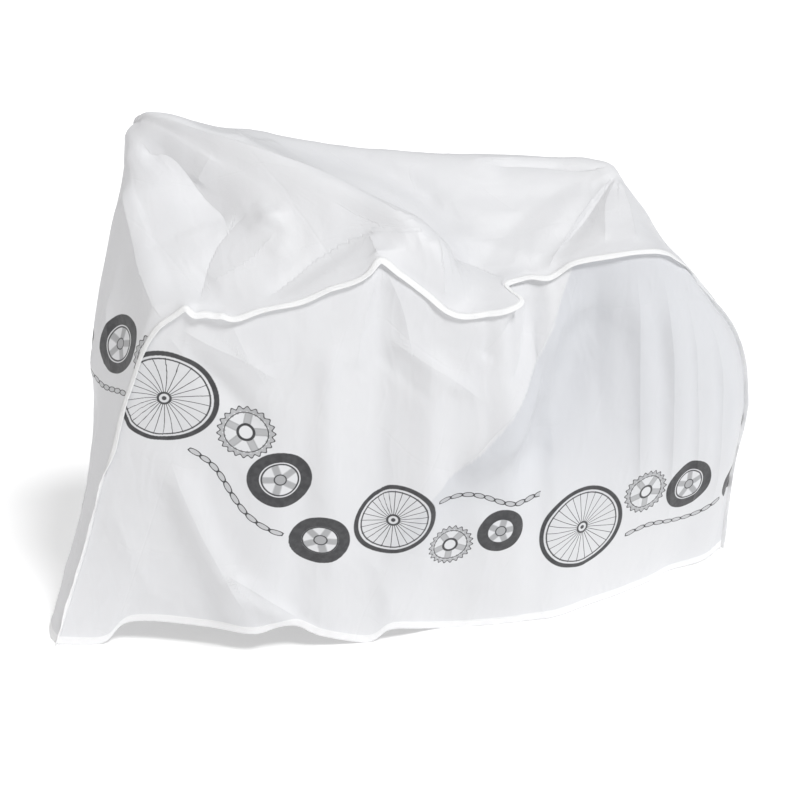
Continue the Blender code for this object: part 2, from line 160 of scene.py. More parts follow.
# The strip's sections between the two seams:
# station, near shoulder, near slope, crown, far slope
STRIP_SECTIONS = (
    (0.0, (-0.203, 0.045, 0.008), (-0.200, 0.090, 0.008), (-0.180, 0.135, 0.008), (-0.150, 0.175, 0.008)),
    (1.0, (-0.116, 0.035, 0.262), (-0.117, 0.085, 0.260), (-0.103, 0.140, 0.260), (-0.078, 0.190, 0.260)),
    (2.0, (-0.060, -0.010, 0.500), (-0.066, 0.060, 0.510), (-0.062, 0.130, 0.515), (-0.040, 0.200, 0.515)),
    (2.6, (-0.014, -0.045, 0.660), (-0.034, 0.040, 0.690), (-0.040, 0.125, 0.715), (-0.015, 0.210, 0.695)),
    (3.0, (0.052, -0.070, 0.825), (0.040, 0.030, 0.880), (0.037, 0.165, 0.975), (0.043, 0.245, 0.895)),
    (3.2, (0.088, -0.078, 0.835), (0.070, 0.030, 0.901), (0.042, 0.170, 1.003), (0.051, 0.248, 0.918)),
    (3.5, (0.140, -0.086, 0.846), (0.112, 0.029, 0.922), (0.049, 0.176, 1.028), (0.062, 0.251, 0.941)),
    (4.0, (0.228, -0.100, 0.862), (0.188, 0.025, 0.945), (0.058, 0.183, 1.054), (0.080, 0.252, 0.970)),
    (4.5, (0.392, -0.138, 0.896), (0.248, 0.014, 0.996), (0.072, 0.187, 1.078), (0.106, 0.252, 1.000)),
    (5.0, (0.553, -0.178, 0.910), (0.323, 0.010, 1.030), (0.098, 0.186, 1.090), (0.140, 0.250, 1.020)),
    (5.4, (0.618, -0.155, 0.852), (0.405, 0.048, 0.992), (0.215, 0.200, 1.050), (0.270, 0.272, 0.975)),
    (6.0, (0.695, -0.150, 0.830), (0.655, -0.030, 0.913), (0.540, 0.105, 1.000), (0.560, 0.215, 0.930)),
    (7.0, (0.880, -0.130, 0.870), (0.900, -0.050, 0.920), (0.880, 0.045, 0.972), (0.890, 0.155, 0.905)),
    (8.0, (1.004, -0.130, 0.877), (1.016, -0.060, 0.914), (1.022, 0.002, 0.946), (1.022, 0.115, 0.893)),
    (9.0, (1.108, -0.120, 0.797), (1.120, -0.060, 0.787), (1.130, 0.000, 0.768), (1.125, 0.090, 0.770)),
    (10.0, (1.292, -0.030, 0.600), (1.297, 0.000, 0.600), (1.299, 0.030, 0.600), (1.288, 0.090, 0.600)),
    (11.0, (1.372, 0.000, 0.400), (1.379, 0.020, 0.400), (1.382, 0.045, 0.400), (1.373, 0.080, 0.400)),
    (12.0, (1.353, 0.000, 0.220), (1.358, 0.018, 0.220), (1.360, 0.040, 0.220), (1.350, 0.075, 0.220)),
    (13.0, (1.353, 0.005, 0.012), (1.358, 0.020, 0.012), (1.359, 0.035, 0.012), (1.354, 0.060, 0.012)),
)

# A side panel's columns: station at its seam, x, y, z at its hem, outward belly at mid height,
# rearward bow at mid height
NEAR_COLUMNS = (
    (3.0, -0.193, 0.011, 0.008, 0.000, 0.000),
    (3.2, -0.107, -0.014, 0.008, 0.012, 0.000),
    (3.5, -0.040, -0.030, 0.061, 0.020, 0.000),
    (3.8, 0.099, -0.090, 0.064, 0.024, 0.000),
    (4.0, 0.195, -0.140, 0.060, 0.024, 0.000),
    (4.3, 0.278, -0.150, 0.074, 0.026, 0.000),
    (4.6, 0.361, -0.160, 0.031, 0.026, 0.000),
    (4.7, 0.422, -0.160, 0.010, 0.026, 0.000),
    (5.0, 0.498, -0.170, 0.036, 0.026, 0.000),
    (5.2, 0.586, -0.155, 0.012, 0.024, 0.000),
    (5.6, 0.692, -0.167, 0.008, 0.022, 0.000),
    (6.0, 0.803, -0.178, 0.008, 0.016, 0.000),
    (6.5, 0.870, -0.180, 0.008, 0.014, 0.000),
    (7.0, 0.967, -0.150, 0.008, 0.018, 0.000),
    (7.6, 1.050, -0.125, 0.008, 0.020, 0.012),
    (8.0, 1.110, -0.105, 0.008, 0.022, 0.030),
    (8.6, 1.191, -0.070, 0.008, 0.030, 0.066),
    (9.0, 1.275, -0.055, 0.010, 0.035, 0.106),
    (9.4, 1.345, -0.010, 0.012, 0.020, 0.108),
)
FAR_COLUMNS = (
    (3.0, -0.110, 0.205, 0.008, 0.000, 0.000),
    (3.5, -0.020, 0.225, 0.020, 0.014, 0.000),
    (4.0, 0.110, 0.235, 0.012, 0.020, 0.000),
    (5.0, 0.290, 0.262, 0.030, 0.022, 0.000),
    (5.4, 0.430, 0.255, 0.010, 0.024, 0.000),
    (6.0, 0.640, 0.262, 0.018, 0.024, 0.000),
    (7.0, 0.900, 0.235, 0.008, 0.022, 0.010),
    (8.0, 1.100, 0.180, 0.014, 0.020, 0.040),
    (9.0, 1.270, 0.115, 0.010, 0.016, 0.090),
    (9.4, 1.340, 0.085, 0.012, 0.010, 0.104),
)

# Main folds: route, half width, height (a trough is below 0).
# A panel's routes run over the cloth as seen from the side (x, z), the strip's in x, y, z.
NEAR_FOLDS = (
    (((0.850, 0.800), (0.802, 0.698), (0.759, 0.574), (0.708, 0.492), (0.600, 0.395)), 0.040, 0.024),
    (((0.925, 0.780), (0.880, 0.660), (0.850, 0.540), (0.800, 0.430), (0.720, 0.340)), 0.050, -0.022),
    (((0.475, 0.730), (0.560, 0.660), (0.640, 0.590)), 0.022, 0.005),
    (((0.365, 0.760), (0.350, 0.560), (0.340, 0.330)), 0.034, 0.012),
    (((0.560, 0.720), (0.560, 0.480), (0.545, 0.220)), 0.040, 0.012),
    (((0.060, 0.470), (0.133, 0.240), (0.205, 0.050)), 0.030, 0.014),
    (((0.152, 0.210), (0.230, 0.130), (0.310, 0.060)), 0.026, 0.012),
    (((0.090, 0.720), (0.180, 0.610), (0.230, 0.520)), 0.028, -0.010),
    (((0.985, 0.780), (1.030, 0.540), (1.065, 0.280)), 0.026, 0.012),
    (((1.060, 0.760), (1.110, 0.540), (1.145, 0.270)), 0.026, 0.012),
    (((1.130, 0.690), (1.185, 0.500), (1.215, 0.260)), 0.026, 0.011),
    (((1.210, 0.600), (1.260, 0.460), (1.275, 0.240)), 0.024, 0.010),
)
FAR_FOLDS = (
    (((0.180, 0.760), (0.120, 0.480), (0.090, 0.120)), 0.050, 0.018),
    (((0.400, 0.760), (0.380, 0.460), (0.350, 0.100)), 0.055, 0.018),
    (((0.620, 0.740), (0.640, 0.440), (0.620, 0.080)), 0.055, 0.020),
    (((0.820, 0.740), (0.880, 0.480), (0.900, 0.100)), 0.050, -0.018),
    (((1.000, 0.740), (1.080, 0.480), (1.120, 0.140)), 0.045, 0.016),
    (((1.130, 0.640), (1.200, 0.440), (1.230, 0.180)), 0.035, 0.012),
)
STRIP_FOLDS = (
    (((0.280, -0.045, 0.930), (0.292, -0.070, 0.910)), 0.034, 0.010),
    (((0.245, -0.195, 0.815), (0.378, -0.160, 0.880), (0.448, -0.150, 0.908)), 0.020, -0.008),
    (((1.010, -0.010, 0.938), (0.900, -0.110, 0.880), (0.800, -0.185, 0.815)), 0.028, -0.012),
    (((1.010, 0.010, 0.940), (0.930, 0.110, 0.920), (0.860, 0.230, 0.850)), 0.030, -0.012),
    (((0.460, 0.125, 1.005), (0.580, 0.020, 0.955), (0.680, -0.100, 0.865)), 0.034, -0.012),
    (((0.300, 0.200, 1.035), (0.420, 0.270, 0.960), (0.480, 0.315, 0.880)), 0.034, 0.014),
    (((1.080, -0.020, 0.860), (1.180, 0.010, 0.710), (1.300, 0.020, 0.560)), 0.040, 0.010),
    (((-0.062, 0.080, 0.540), (-0.090, 0.090, 0.400), (-0.112, 0.095, 0.270)), 0.034, -0.012),
    (((0.000, 0.020, 0.760), (-0.040, 0.060, 0.640), (-0.050, 0.090, 0.560)), 0.030, 0.010),
)

# Creases: route, half width on its left and right as one goes along it, height, and how crisp
# its top is (0 soft, 1 crisp).
NEAR_CREASES = (
    (((0.474, 0.723), (0.537, 0.677), (0.623, 0.611), (0.660, 0.575)), 0.016, 0.012, 0.0030, 1.0),
    (((0.445, 0.700), (0.500, 0.640), (0.560, 0.585)), 0.014, 0.014, -0.0025, 0.4),
    (((0.360, 0.751), (0.351, 0.569), (0.366, 0.338), (0.359, 0.135)), 0.026, 0.034, 0.0040, 0.5),
    (((0.548, 0.720), (0.549, 0.532), (0.547, 0.321), (0.552, 0.103)), 0.034, 0.026, 0.0040, 0.5),
    (((0.849, 0.815), (0.800, 0.700), (0.744, 0.592), (0.688, 0.521), (0.640, 0.465), (0.590, 0.415)),
     0.045, 0.030, 0.0090, 1.0),
    (((0.983, 0.810), (1.002, 0.633), (1.030, 0.394), (1.060, 0.150)), 0.016, 0.034, 0.0050, 0.9),
    (((1.040, 0.800), (1.079, 0.620), (1.113, 0.375), (1.140, 0.150)), 0.014, 0.030, 0.0050, 0.9),
    (((1.102, 0.744), (1.136, 0.610), (1.183, 0.358), (1.205, 0.160)), 0.014, 0.028, 0.0050, 0.9),
    (((1.144, 0.700), (1.202, 0.593), (1.241, 0.394), (1.262, 0.170)), 0.012, 0.022, 0.0045, 0.9),
    (((0.057, 0.475), (0.088, 0.366), (0.130, 0.250), (0.194, 0.101)), 0.030, 0.030, 0.0050, 0.7),
    (((0.148, 0.220), (0.215, 0.167), (0.297, 0.089)), 0.030, 0.012, 0.0060, 0.9),
    (((0.165, 0.200), (0.255, 0.140), (0.350, 0.050)), 0.018, 0.030, -0.0040, 0.5),
    (((0.645, 0.672), (0.691, 0.731), (0.731, 0.770)), 0.014, 0.030, -0.0050, 0.8),
    (((0.067, 0.745), (0.087, 0.715), (0.120, 0.650)), 0.014, 0.014, 0.0030, 0.8),
    (((0.090, 0.760), (0.150, 0.722), (0.210, 0.690), (0.262, 0.652)), 0.014, 0.022, 0.0045, 1.0),
    (((0.178, 0.778), (0.200, 0.720), (0.240, 0.640)), 0.012, 0.020, 0.0030, 0.7),
    (((0.300, 0.800), (0.290, 0.700), (0.262, 0.600)), 0.020, 0.020, -0.0030, 0.4),
    (((0.462, 0.868), (0.430, 0.780), (0.405, 0.660)), 0.016, 0.026, 0.0040, 0.8),
    (((0.466, 0.868), (0.500, 0.780), (0.515, 0.690)), 0.026, 0.016, 0.0040, 0.8),
    (((0.900, 0.820), (0.920, 0.640), (0.940, 0.420)), 0.024, 0.024, -0.0040, 0.5),
    (((0.760, 0.770), (0.745, 0.690), (0.705, 0.600)), 0.014, 0.020, -0.0040, 0.7),
    (((-0.060, 0.370), (-0.020, 0.220), (0.020, 0.100)), 0.020, 0.028, 0.0035, 0.6),
    (((0.660, 0.330), (0.690, 0.200), (0.700, 0.070)), 0.026, 0.026, 0.0035, 0.4),
    (((0.860, 0.300), (0.900, 0.180), (0.930, 0.050)), 0.024, 0.024, 0.0035, 0.4),
    (((0.430, 0.260), (0.470, 0.150), (0.500, 0.050)), 0.022, 0.022, 0.0035, 0.4),
)
FAR_CREASES = (
    (((0.100, 0.800), (0.080, 0.600), (0.030, 0.300)), 0.014, 0.028, 0.0050, 0.9),
    (((0.300, 0.850), (0.270, 0.600), (0.240, 0.300)), 0.028, 0.014, 0.0050, 0.9),
    (((0.520, 0.830), (0.520, 0.600), (0.500, 0.250)), 0.016, 0.030, 0.0045, 0.8),
    (((0.760, 0.810), (0.760, 0.550), (0.740, 0.200)), 0.026, 0.014, 0.0045, 0.8),
    (((0.930, 0.790), (0.980, 0.560), (1.020, 0.240)), 0.014, 0.028, 0.0050, 0.9),
    (((1.080, 0.740), (1.150, 0.520), (1.190, 0.200)), 0.014, 0.024, 0.0045, 0.9),
    (((0.350, 0.420), (0.420, 0.240), (0.460, 0.080)), 0.020, 0.020, -0.0035, 0.5),
    (((0.640, 0.300), (0.680, 0.180), (0.690, 0.050)), 0.022, 0.022, 0.0035, 0.5),
    (((0.200, 0.840), (0.300, 0.700), (0.420, 0.560)), 0.012, 0.024, 0.0045, 1.0),
    (((0.980, 0.800), (0.860, 0.640), (0.760, 0.500)), 0.024, 0.012, 0.0045, 1.0),
)
STRIP_CREASES = (
    # The edge between the front and the near slope, down from the front peak.
    (((0.039, 0.140, 0.968), (0.038, 0.121, 0.954), (0.037, 0.086, 0.924),
      (0.038, 0.055, 0.897), (0.040, 0.022, 0.873), (0.043, -0.025, 0.843), (0.049, -0.070, 0.818),
      (0.054, -0.110, 0.796), (0.057, -0.165, 0.776), (0.060, -0.215, 0.756)), 0.042, 0.042, 0.0170, 1.0),
    # The front ridge, from its far end down to its near one.
    (((0.090, 0.181, 1.081), (0.128, 0.137, 1.079), (0.204, 0.079, 1.060), (0.253, 0.047, 1.047),
      (0.321, 0.004, 1.027), (0.408, -0.044, 0.994), (0.463, -0.089, 0.967), (0.508, -0.140, 0.937),
      (0.556, -0.162, 0.905), (0.575, -0.180, 0.880), (0.618, -0.211, 0.816), (0.639, -0.235, 0.784)),
     0.030, 0.045, 0.0150, 1.0),
    (((0.128, 0.137, 1.079), (0.204, 0.079, 1.060), (0.321, 0.004, 1.027), (0.408, -0.044, 0.994),
      (0.508, -0.140, 0.937)), 0.060, 0.060, -0.0110, 0.0),
    # The valley from beside the front peak down the near slope, and on to the seam.
    (((0.074, 0.163, 1.037), (0.092, 0.128, 1.018), (0.110, 0.119, 1.019), (0.124, 0.107, 1.013),
      (0.143, 0.084, 0.994), (0.162, 0.055, 0.967), (0.177, 0.032, 0.948), (0.202, -0.007, 0.923),
      (0.207, -0.038, 0.900)), 0.040, 0.050, -0.0125, 1.0),
    (((0.248, -0.034, 0.936), (0.233, -0.031, 0.922), (0.207, -0.038, 0.900), (0.150, -0.100, 0.838),
      (0.128, -0.161, 0.802)), 0.024, 0.030, -0.0070, 1.0),
    (((0.195, 0.057, 1.025), (0.176, 0.061, 0.986), (0.165, 0.060, 0.969)), 0.012, 0.012, 0.0050, 0.9),
    (((0.262, -0.030, 0.950), (0.306, -0.096, 0.902), (0.274, -0.122, 0.863)), 0.020, 0.020, 0.0060, 0.3),
    (((0.241, -0.184, 0.809), (0.309, -0.163, 0.844), (0.379, -0.148, 0.882), (0.446, -0.150, 0.909),
      (0.530, -0.168, 0.914)), 0.034, 0.024, -0.0090, 1.0),
    (((0.150, -0.120, 0.830), (0.230, -0.110, 0.868), (0.300, -0.080, 0.905)), 0.024, 0.024, 0.0045, 0.8),
    (((0.460, -0.206, 0.879), (0.457, -0.165, 0.900), (0.454, -0.150, 0.912)), 0.020, 0.016, 0.0060, 1.0),
    (((0.454, -0.150, 0.912), (0.509, -0.172, 0.910), (0.560, -0.172, 0.897)), 0.016, 0.016, 0.0045, 0.9),
    (((0.566, -0.176, 0.892), (0.576, -0.217, 0.847), (0.575, -0.245, 0.790)), 0.018, 0.024, 0.0070, 1.0),
    (((0.395, -0.096, 0.963), (0.467, -0.150, 0.930), (0.559, -0.172, 0.899)), 0.020, 0.016, -0.0040, 0.8),
    # Rays from the rear peak.
    (((1.010, -0.020, 0.944), (0.910, -0.088, 0.887), (0.796, -0.197, 0.804)), 0.016, 0.030, 0.0080, 1.0),
    (((1.010, -0.024, 0.944), (0.929, -0.093, 0.887), (0.844, -0.151, 0.840)), 0.014, 0.020, -0.0060, 0.9),
    (((1.012, -0.026, 0.940), (0.973, -0.074, 0.909), (0.925, -0.183, 0.853)), 0.014, 0.024, 0.0060, 1.0),
    (((1.018, -0.024, 0.935), (1.008, -0.110, 0.885), (0.989, -0.192, 0.850)), 0.016, 0.018, 0.0055, 1.0),
    (((1.000, -0.014, 0.950), (0.884, -0.039, 0.927), (0.733, -0.110, 0.858), (0.642, -0.198, 0.813)),
     0.034, 0.030, -0.0050, 0.5),
    (((0.760, 0.030, 0.968), (0.881, 0.011, 0.963), (0.957, -0.010, 0.954), (1.010, -0.004, 0.950)),
     0.016, 0.022, -0.0080, 1.0),
    (((0.700, 0.050, 0.975), (0.860, 0.040, 0.972), (1.000, 0.012, 0.950)), 0.020, 0.016, 0.0050, 0.9),
    # Folds past the ridge, and the sag behind it.
    (((0.250, 0.052, 1.050), (0.258, 0.110, 1.050), (0.261, 0.173, 1.042)), 0.020, 0.016, 0.0060, 1.0),
    (((0.253, 0.050, 1.050), (0.300, 0.100, 1.036), (0.345, 0.127, 1.022)), 0.014, 0.022, 0.0050, 1.0),
    (((0.588, -0.180, 0.872), (0.657, -0.153, 0.833), (0.720, -0.195, 0.805)), 0.016, 0.022, -0.0070, 1.0),
    (((0.561, -0.141, 0.899), (0.674, -0.101, 0.860), (0.796, -0.168, 0.825)), 0.024, 0.020, 0.0045, 0.5),
    (((0.620, -0.006, 0.918), (0.749, -0.061, 0.893), (0.877, -0.058, 0.912)), 0.030, 0.030, 0.0040, 0.4),
    (((0.420, 0.030, 0.995), (0.560, -0.020, 0.935), (0.640, -0.080, 0.880)), 0.030, 0.022, 0.0040, 0.5),
    # The front, the far side and the rear.
    (((-0.045, 0.110, 0.760), (-0.019, 0.043, 0.754), (0.022, -0.089, 0.737)), 0.024, 0.024, 0.0040, 0.6),
    (((0.000, 0.060, 0.840), (-0.025, 0.020, 0.720), (-0.045, -0.030, 0.600)), 0.022, 0.030, 0.0045, 0.7),
    (((-0.061, 0.013, 0.514), (-0.099, 0.030, 0.329), (-0.152, 0.028, 0.148)), 0.024, 0.030, 0.0055, 0.8),
    (((-0.080, 0.140, 0.430), (-0.120, 0.120, 0.250), (-0.170, 0.120, 0.080)), 0.026, 0.026, 0.0050, 0.6),
    (((0.050, 0.235, 0.960), (0.010, 0.210, 0.800), (-0.020, 0.200, 0.650)), 0.020, 0.028, 0.0050, 0.8),
    (((0.100, 0.230, 1.060), (0.220, 0.280, 0.960), (0.300, 0.320, 0.890)), 0.024, 0.018, 0.0060, 0.9),
    (((0.180, 0.215, 1.050), (0.330, 0.250, 0.990), (0.450, 0.300, 0.900)), 0.020, 0.026, -0.0050, 0.8),
    (((0.560, 0.160, 0.975), (0.600, 0.240, 0.910), (0.620, 0.300, 0.860)), 0.026, 0.020, -0.0050, 0.7),
    (((1.012, 0.020, 0.942), (0.980, 0.120, 0.900), (0.950, 0.220, 0.845)), 0.016, 0.026, 0.0060, 1.0),
    (((1.012, 0.020, 0.942), (0.900, 0.130, 0.915), (0.800, 0.220, 0.870)), 0.026, 0.016, 0.0060, 1.0),
    (((1.020, 0.020, 0.938), (1.050, 0.110, 0.880), (1.060, 0.190, 0.820)), 0.018, 0.024, 0.0060, 1.0),
    (((1.030, 0.010, 0.925), (1.110, 0.040, 0.800), (1.220, 0.050, 0.680)), 0.024, 0.024, 0.0060, 0.9),
    (((1.030, -0.010, 0.925), (1.100, -0.060, 0.815), (1.170, -0.080, 0.730)), 0.018, 0.022, 0.0055, 0.9),
    (((1.340, 0.030, 0.520), (1.375, 0.035, 0.360), (1.358, 0.030, 0.180)), 0.020, 0.020, -0.0045, 0.6),
    (((1.330, 0.075, 0.500), (1.360, 0.080, 0.330), (1.345, 0.070, 0.150)), 0.016, 0.016, 0.0040, 0.6),
)

# Places where the cloth is pulled: centre, radius, shift. They tuck the near seam under itself behind
# the front ridge, crumple it near its front corner and sharpen the rear peak.
PULLS = (
    ((0.702, -0.256, 0.782), 0.024, (0.020, -0.002, 0.001)),
    ((0.732, -0.214, 0.799), 0.022, (-0.024, 0.000, 0.006)),
    ((1.000, 0.000, 0.955), 0.030, (0.010, 0.000, 0.003)),
    ((1.058, -0.010, 0.902), 0.036, (-0.009, 0.000, -0.007)),
    ((0.060, 0.206, 1.080), 0.030, (0.012, 0.000, -0.010)),
    ((0.094, -0.166, 0.796), 0.013, (0.004, -0.004, 0.010)),
    ((0.122, -0.175, 0.797), 0.012, (-0.005, 0.000, -0.007)),
    ((0.165, -0.188, 0.785), 0.012, (0.000, -0.003, 0.006)),
)

# Places where the cloth is rounded off: centre, radius, rounds.
ROUNDED_PLACES = (
    ((0.080, 0.190, 1.070), 0.050, 2),
    ((0.556, -0.180, 0.905), 0.045, 1),
    ((1.022, 0.002, 0.946), 0.030, 1),
)

# The long fold's edge on the near panel: height, place from front to rear.
LONG_FOLD = (
    (0.160, 0.420), (0.300, 0.500), (0.415, 0.590), (0.465, 0.640), (0.521, 0.688), (0.592, 0.744),
    (0.700, 0.800), (0.815, 0.849),
)

# Centre line of the printed band over a panel, from front to rear (x, z).
NEAR_BAND = (
    (-0.040, 0.680), (0.048, 0.640), (0.096, 0.600), (0.160, 0.525), (0.230, 0.435), (0.312, 0.358),
    (0.439, 0.305), (0.563, 0.298), (0.711, 0.280), (0.904, 0.248), (1.054, 0.240), (1.187, 0.246),
    (1.277, 0.266), (1.400, 0.300),
)
FAR_BAND = (
    (-0.080, 0.640), (0.040, 0.600), (0.180, 0.480), (0.340, 0.370), (0.520, 0.310), (0.760, 0.290),
    (1.000, 0.260), (1.200, 0.270), (1.400, 0.310),
)
# The band over the strip's front and rear, in metres: its height, and where its design starts.
FRONT_BAND_HEIGHT, FRONT_BAND_START = 0.665, 0.300
REAR_BAND_HEIGHT, REAR_BAND_START = 0.300, 0.400
# The design's length in metres, how much larger it is printed, and how soft the edge of its ink is.
BAND_REPEAT = 0.860
BAND_SCALE = 1.14
INK_EDGE = 0.0007

FLOOR_ACROSS = 380.0
CAMERA_PLACE = (-0.229, -2.751, 1.778)
CAMERA_LENS = 67.1
CAMERA_DOWN, CAMERA_RIGHT = 24.3, 16.0


def unit(vectors):
    return vectors / np.maximum(np.linalg.norm(vectors, axis=-1, keepdims=True), 1e-12)


def ease(t):
    """0 below 0, 1 above 1, eased between."""
    t = np.clip(t, 0.0, 1.0)
    return t * t * (3.0 - 2.0 * t)


def through(stations, points, wanted):
    """Smooth curve through points at uneven stations, read at the wanted stations."""
    s, p = np.asarray(stations, float), np.asarray(points, float)
    run = np.diff(s)
    slope = np.diff(p, axis=0) / run[:, None]
    tangent = np.empty_like(p)
    tangent[1:-1] = slope[:-1] * run[1:, None] + slope[1:] * run[:-1, None]
    tangent[1:-1] /= (run[:-1] + run[1:])[:, None]
    tangent[0], tangent[-1] = slope[0], slope[-1]
    wanted = np.asarray(wanted, float)
    i = np.clip(np.searchsorted(s, wanted, side="right") - 1, 0, len(s) - 2)
    t = ((wanted - s[i]) / run[i])[:, None]
    step = run[i][:, None]
    return (
        (2 * t**3 - 3 * t**2 + 1) * p[i]
        + (t**3 - 2 * t**2 + t) * step * tangent[i]
        + (3 * t**2 - 2 * t**3) * p[i + 1]
        + (t**3 - t**2) * step * tangent[i + 1]
    )


def running_length(points, axis=0):
    """Metres from the first of a row of points, or from a grid's first line, to each one."""
    steps = np.linalg.norm(np.diff(points, axis=axis), axis=-1)
    return np.insert(np.cumsum(steps, axis=axis), 0, 0.0, axis=axis)


def read_along(at, length, values):
    """Rows of three values at some lengths along a line, from those at its own points."""
    return np.stack([np.interp(at, length, values[:, k]) for k in range(3)], axis=1)


def hem_marks(whole, rows):
    """Shares of a drop from the seam (0) to the hem edge (1): even rows, then the hem's own rows."""
    start = 1.0 - HEM_WIDTH / whole
    above = np.linspace(0.0, start, rows - HEM_ROWS + 1)[:-1]
    return np.concatenate([above, np.linspace(start, 1.0, HEM_ROWS + 1)])


def even_stations(seam, first, last, steps, hem=False):
    table = np.array(seam)
    fine = np.linspace(first, last, SEAM_SAMPLES)
    length = running_length(through(table[:, 0], table[:, 1:], fine))
    marks = hem_marks(length[-1], steps) if hem else np.linspace(0.0, 1.0, steps + 1)
    return np.interp(marks * length[-1], length, fine)


def seam_stations(seam, end_rows, top_rows):
    """The seam's samples in three spans: up the front, along the top, down the rear."""
    front = even_stations(seam, FRONT_CORNER, 0.0, end_rows, hem=True)[::-1]
    top = even_stations(seam, FRONT_CORNER, REAR_CORNER, top_rows)
    rear = even_stations(seam, REAR_CORNER, LAST_STATION, end_rows, hem=True)
    return np.concatenate([front, top[1:], rear[1:]])


def seam_line(seam, end_rows=PANEL_ROWS, top_rows=PANEL_COLUMNS):
    table = np.array(seam)
    return through(table[:, 0], table[:, 1:], seam_stations(seam, end_rows, top_rows))


def distance_to_route(points, route, normals=None):
    """Distance of each point to a polyline, how far along it the nearest place is, and its length.

    With normals, also its side: +1 left of the route and -1 right of it, as seen from outside.
    """
    route = np.asarray(route, float)
    legs = np.diff(route, axis=0)
    lengths, starts = np.linalg.norm(legs, axis=1), running_length(route)
    nearest = np.full(points.shape[:-1], np.inf)
    along, side = np.zeros((2, *nearest.shape))
    for start, leg, length, begun in zip(route[:-1], legs, lengths, starts):
        t = np.clip((points - start) @ leg / length**2, 0.0, 1.0)
        offset = points - start - t[..., None] * leg
        away = np.linalg.norm(offset, axis=-1)
        closer = away < nearest
        nearest = np.where(closer, away, nearest)
        along = np.where(closer, begun + t * length, along)
        if normals is not None:
            turn = np.sum(np.cross(np.broadcast_to(leg, points.shape), offset) * normals, axis=-1)
            side = np.where(closer, np.sign(turn), side)
    return nearest, along, starts[-1], side


def rounded_route(route, steps=8):
    """The same route as a smooth curve."""
    route = np.asarray(route, float)
    if len(route) < 3:
        return route
    stations = running_length(route)
    return through(stations, route, np.linspace(0.0, stations[-1], steps * (len(route) - 1) + 1))


def grid_normals(grid, outward):
    """Unit normals of a grid of points, all on the outward side."""
    return unit(np.cross(np.gradient(grid, axis=0), np.gradient(grid, axis=1))) * outward


def lines_in(count):
    """How many grid lines each one is in from the nearer end of their run."""
    return np.minimum(np.arange(count), np.arange(count)[::-1])


def edge_fade(count, coarse):
    """0 at both ends of a run of grid lines and 1 a few lines in."""
    inside = lines_in(count) * coarse / count
    return ease(inside / (FOLD_FADE * coarse + 1.0))


def raised(grid, folds, axes, outward, fade):
    """The grid with each fold raised or sunk along the cloth's normal, lower towards its ends."""
    height = np.zeros(grid.shape[:2])
    for route, width, rise in folds:
        away, along, whole, _ = distance_to_route(grid[..., axes], route)
        along = along / whole
        ends = FOLD_END_HEIGHT + (1.0 - FOLD_END_HEIGHT) * ease(along / 0.2) * ease((1.0 - along) / 0.25)
        height += rise * ends * np.exp(-((away / width) ** 2))
    return grid + grid_normals(grid, outward) * (height * fade)[..., None]


def creased(grid, creases, axes, outward, fade):
    """The grid with its creases, and their map: metres from the nearest one, and how crisp it is.

    Each crease is a ridge or trough with its own two slopes, uneven along its way.
    """
    normals = grid_normals(grid, outward)
    height = np.zeros(grid.shape[:2])
    nearest = np.full(grid.shape[:2], np.inf)
    lines = np.zeros(grid.shape[:2] + (2,))
    places = np.zeros_like(grid)
    places[..., axes] = grid[..., axes]
    for number, (route, left, right, rise, crisp) in enumerate(creases):
        route = rounded_route(route)
        spine = np.zeros((len(route), 3))
        spine[:, axes] = route
        away, along, whole, side = distance_to_route(places, spine, normals)
        wander = 1.0 + 0.18 * np.sin(along * 47.0 + number * 1.7) * np.sin(along * 19.0 + number)
        width = np.where(side > 0, left, right) * wander
        x = away / width
        soft = np.exp(-(x**2))
        rounding = CREASE_ROUNDING / width
        sharp = np.exp(-(np.sqrt(x**2 + rounding**2) - rounding))
        share = along / whole
        ends = ease(share / 0.14) * ease((1.0 - share) / 0.18)
        uneven = 0.92 + 0.14 * np.sin(along * 31.0 + number * 2.3)
        height += rise * ends * uneven * (soft + (sharp - soft) * crisp)
        if crisp > CRISP_LEAST:
            window = np.exp(-((away / LINE_WINDOW) ** 2))
            strength = np.sign(rise) * crisp * ends * fade * min(1.0, abs(rise) / LINE_FULL_RISE)
            line = np.stack([away * np.sign(side) * window, strength * window], axis=-1)
            closer = away < nearest
            lines = np.where(closer[..., None], line, lines)
            nearest = np.where(closer, away, nearest)
    return grid + normals * (height * fade)[..., None], lines


def crumpled(grid, outward, fade, seed):
    """The grid with the slight unevenness of a light cloth that has been folded and unpacked."""
    flat = grid.reshape(-1, 3)
    height = np.empty(len(flat))
    for k, (x, y, z) in enumerate(flat):
        slow = noise.noise(Vector((x * 5.0 + seed, y * 5.0, z * 3.4)))
        bend = noise.noise(Vector((x * 11.0, y * 11.0 + seed, z * 6.5)))
        drawn = Vector((x * 17.0 + 3.0 * bend, y * 17.0, z * 11.0 + seed + 2.0 * slow))
        ridge = 1.0 - abs(noise.noise(drawn))
        fine = 1.0 - abs(noise.noise(Vector((x * 38.0 + seed, y * 38.0 + 3.0 * bend, z * 27.0))))
        height[k] = 0.0030 * slow + 0.0012 * bend + 0.0009 * (ridge**3 - 0.4) + 0.0002 * (fine**4 - 0.3)
    return grid + grid_normals(grid, outward) * (height.reshape(grid.shape[:2]) * fade)[..., None]


def eased(grid, centre, radius, rounds):
    """The grid with its points near a place drawn to the mean of their neighbours."""
    for _ in range(rounds):
        near = np.exp(-((np.linalg.norm(grid - centre, axis=-1) / radius) ** 2))[1:-1, 1:-1, None]
        around = (grid[:-2, 1:-1] + grid[2:, 1:-1] + grid[1:-1, :-2] + grid[1:-1, 2:]) / 4.0
        grid[1:-1, 1:-1] += (around - grid[1:-1, 1:-1]) * near
    return grid


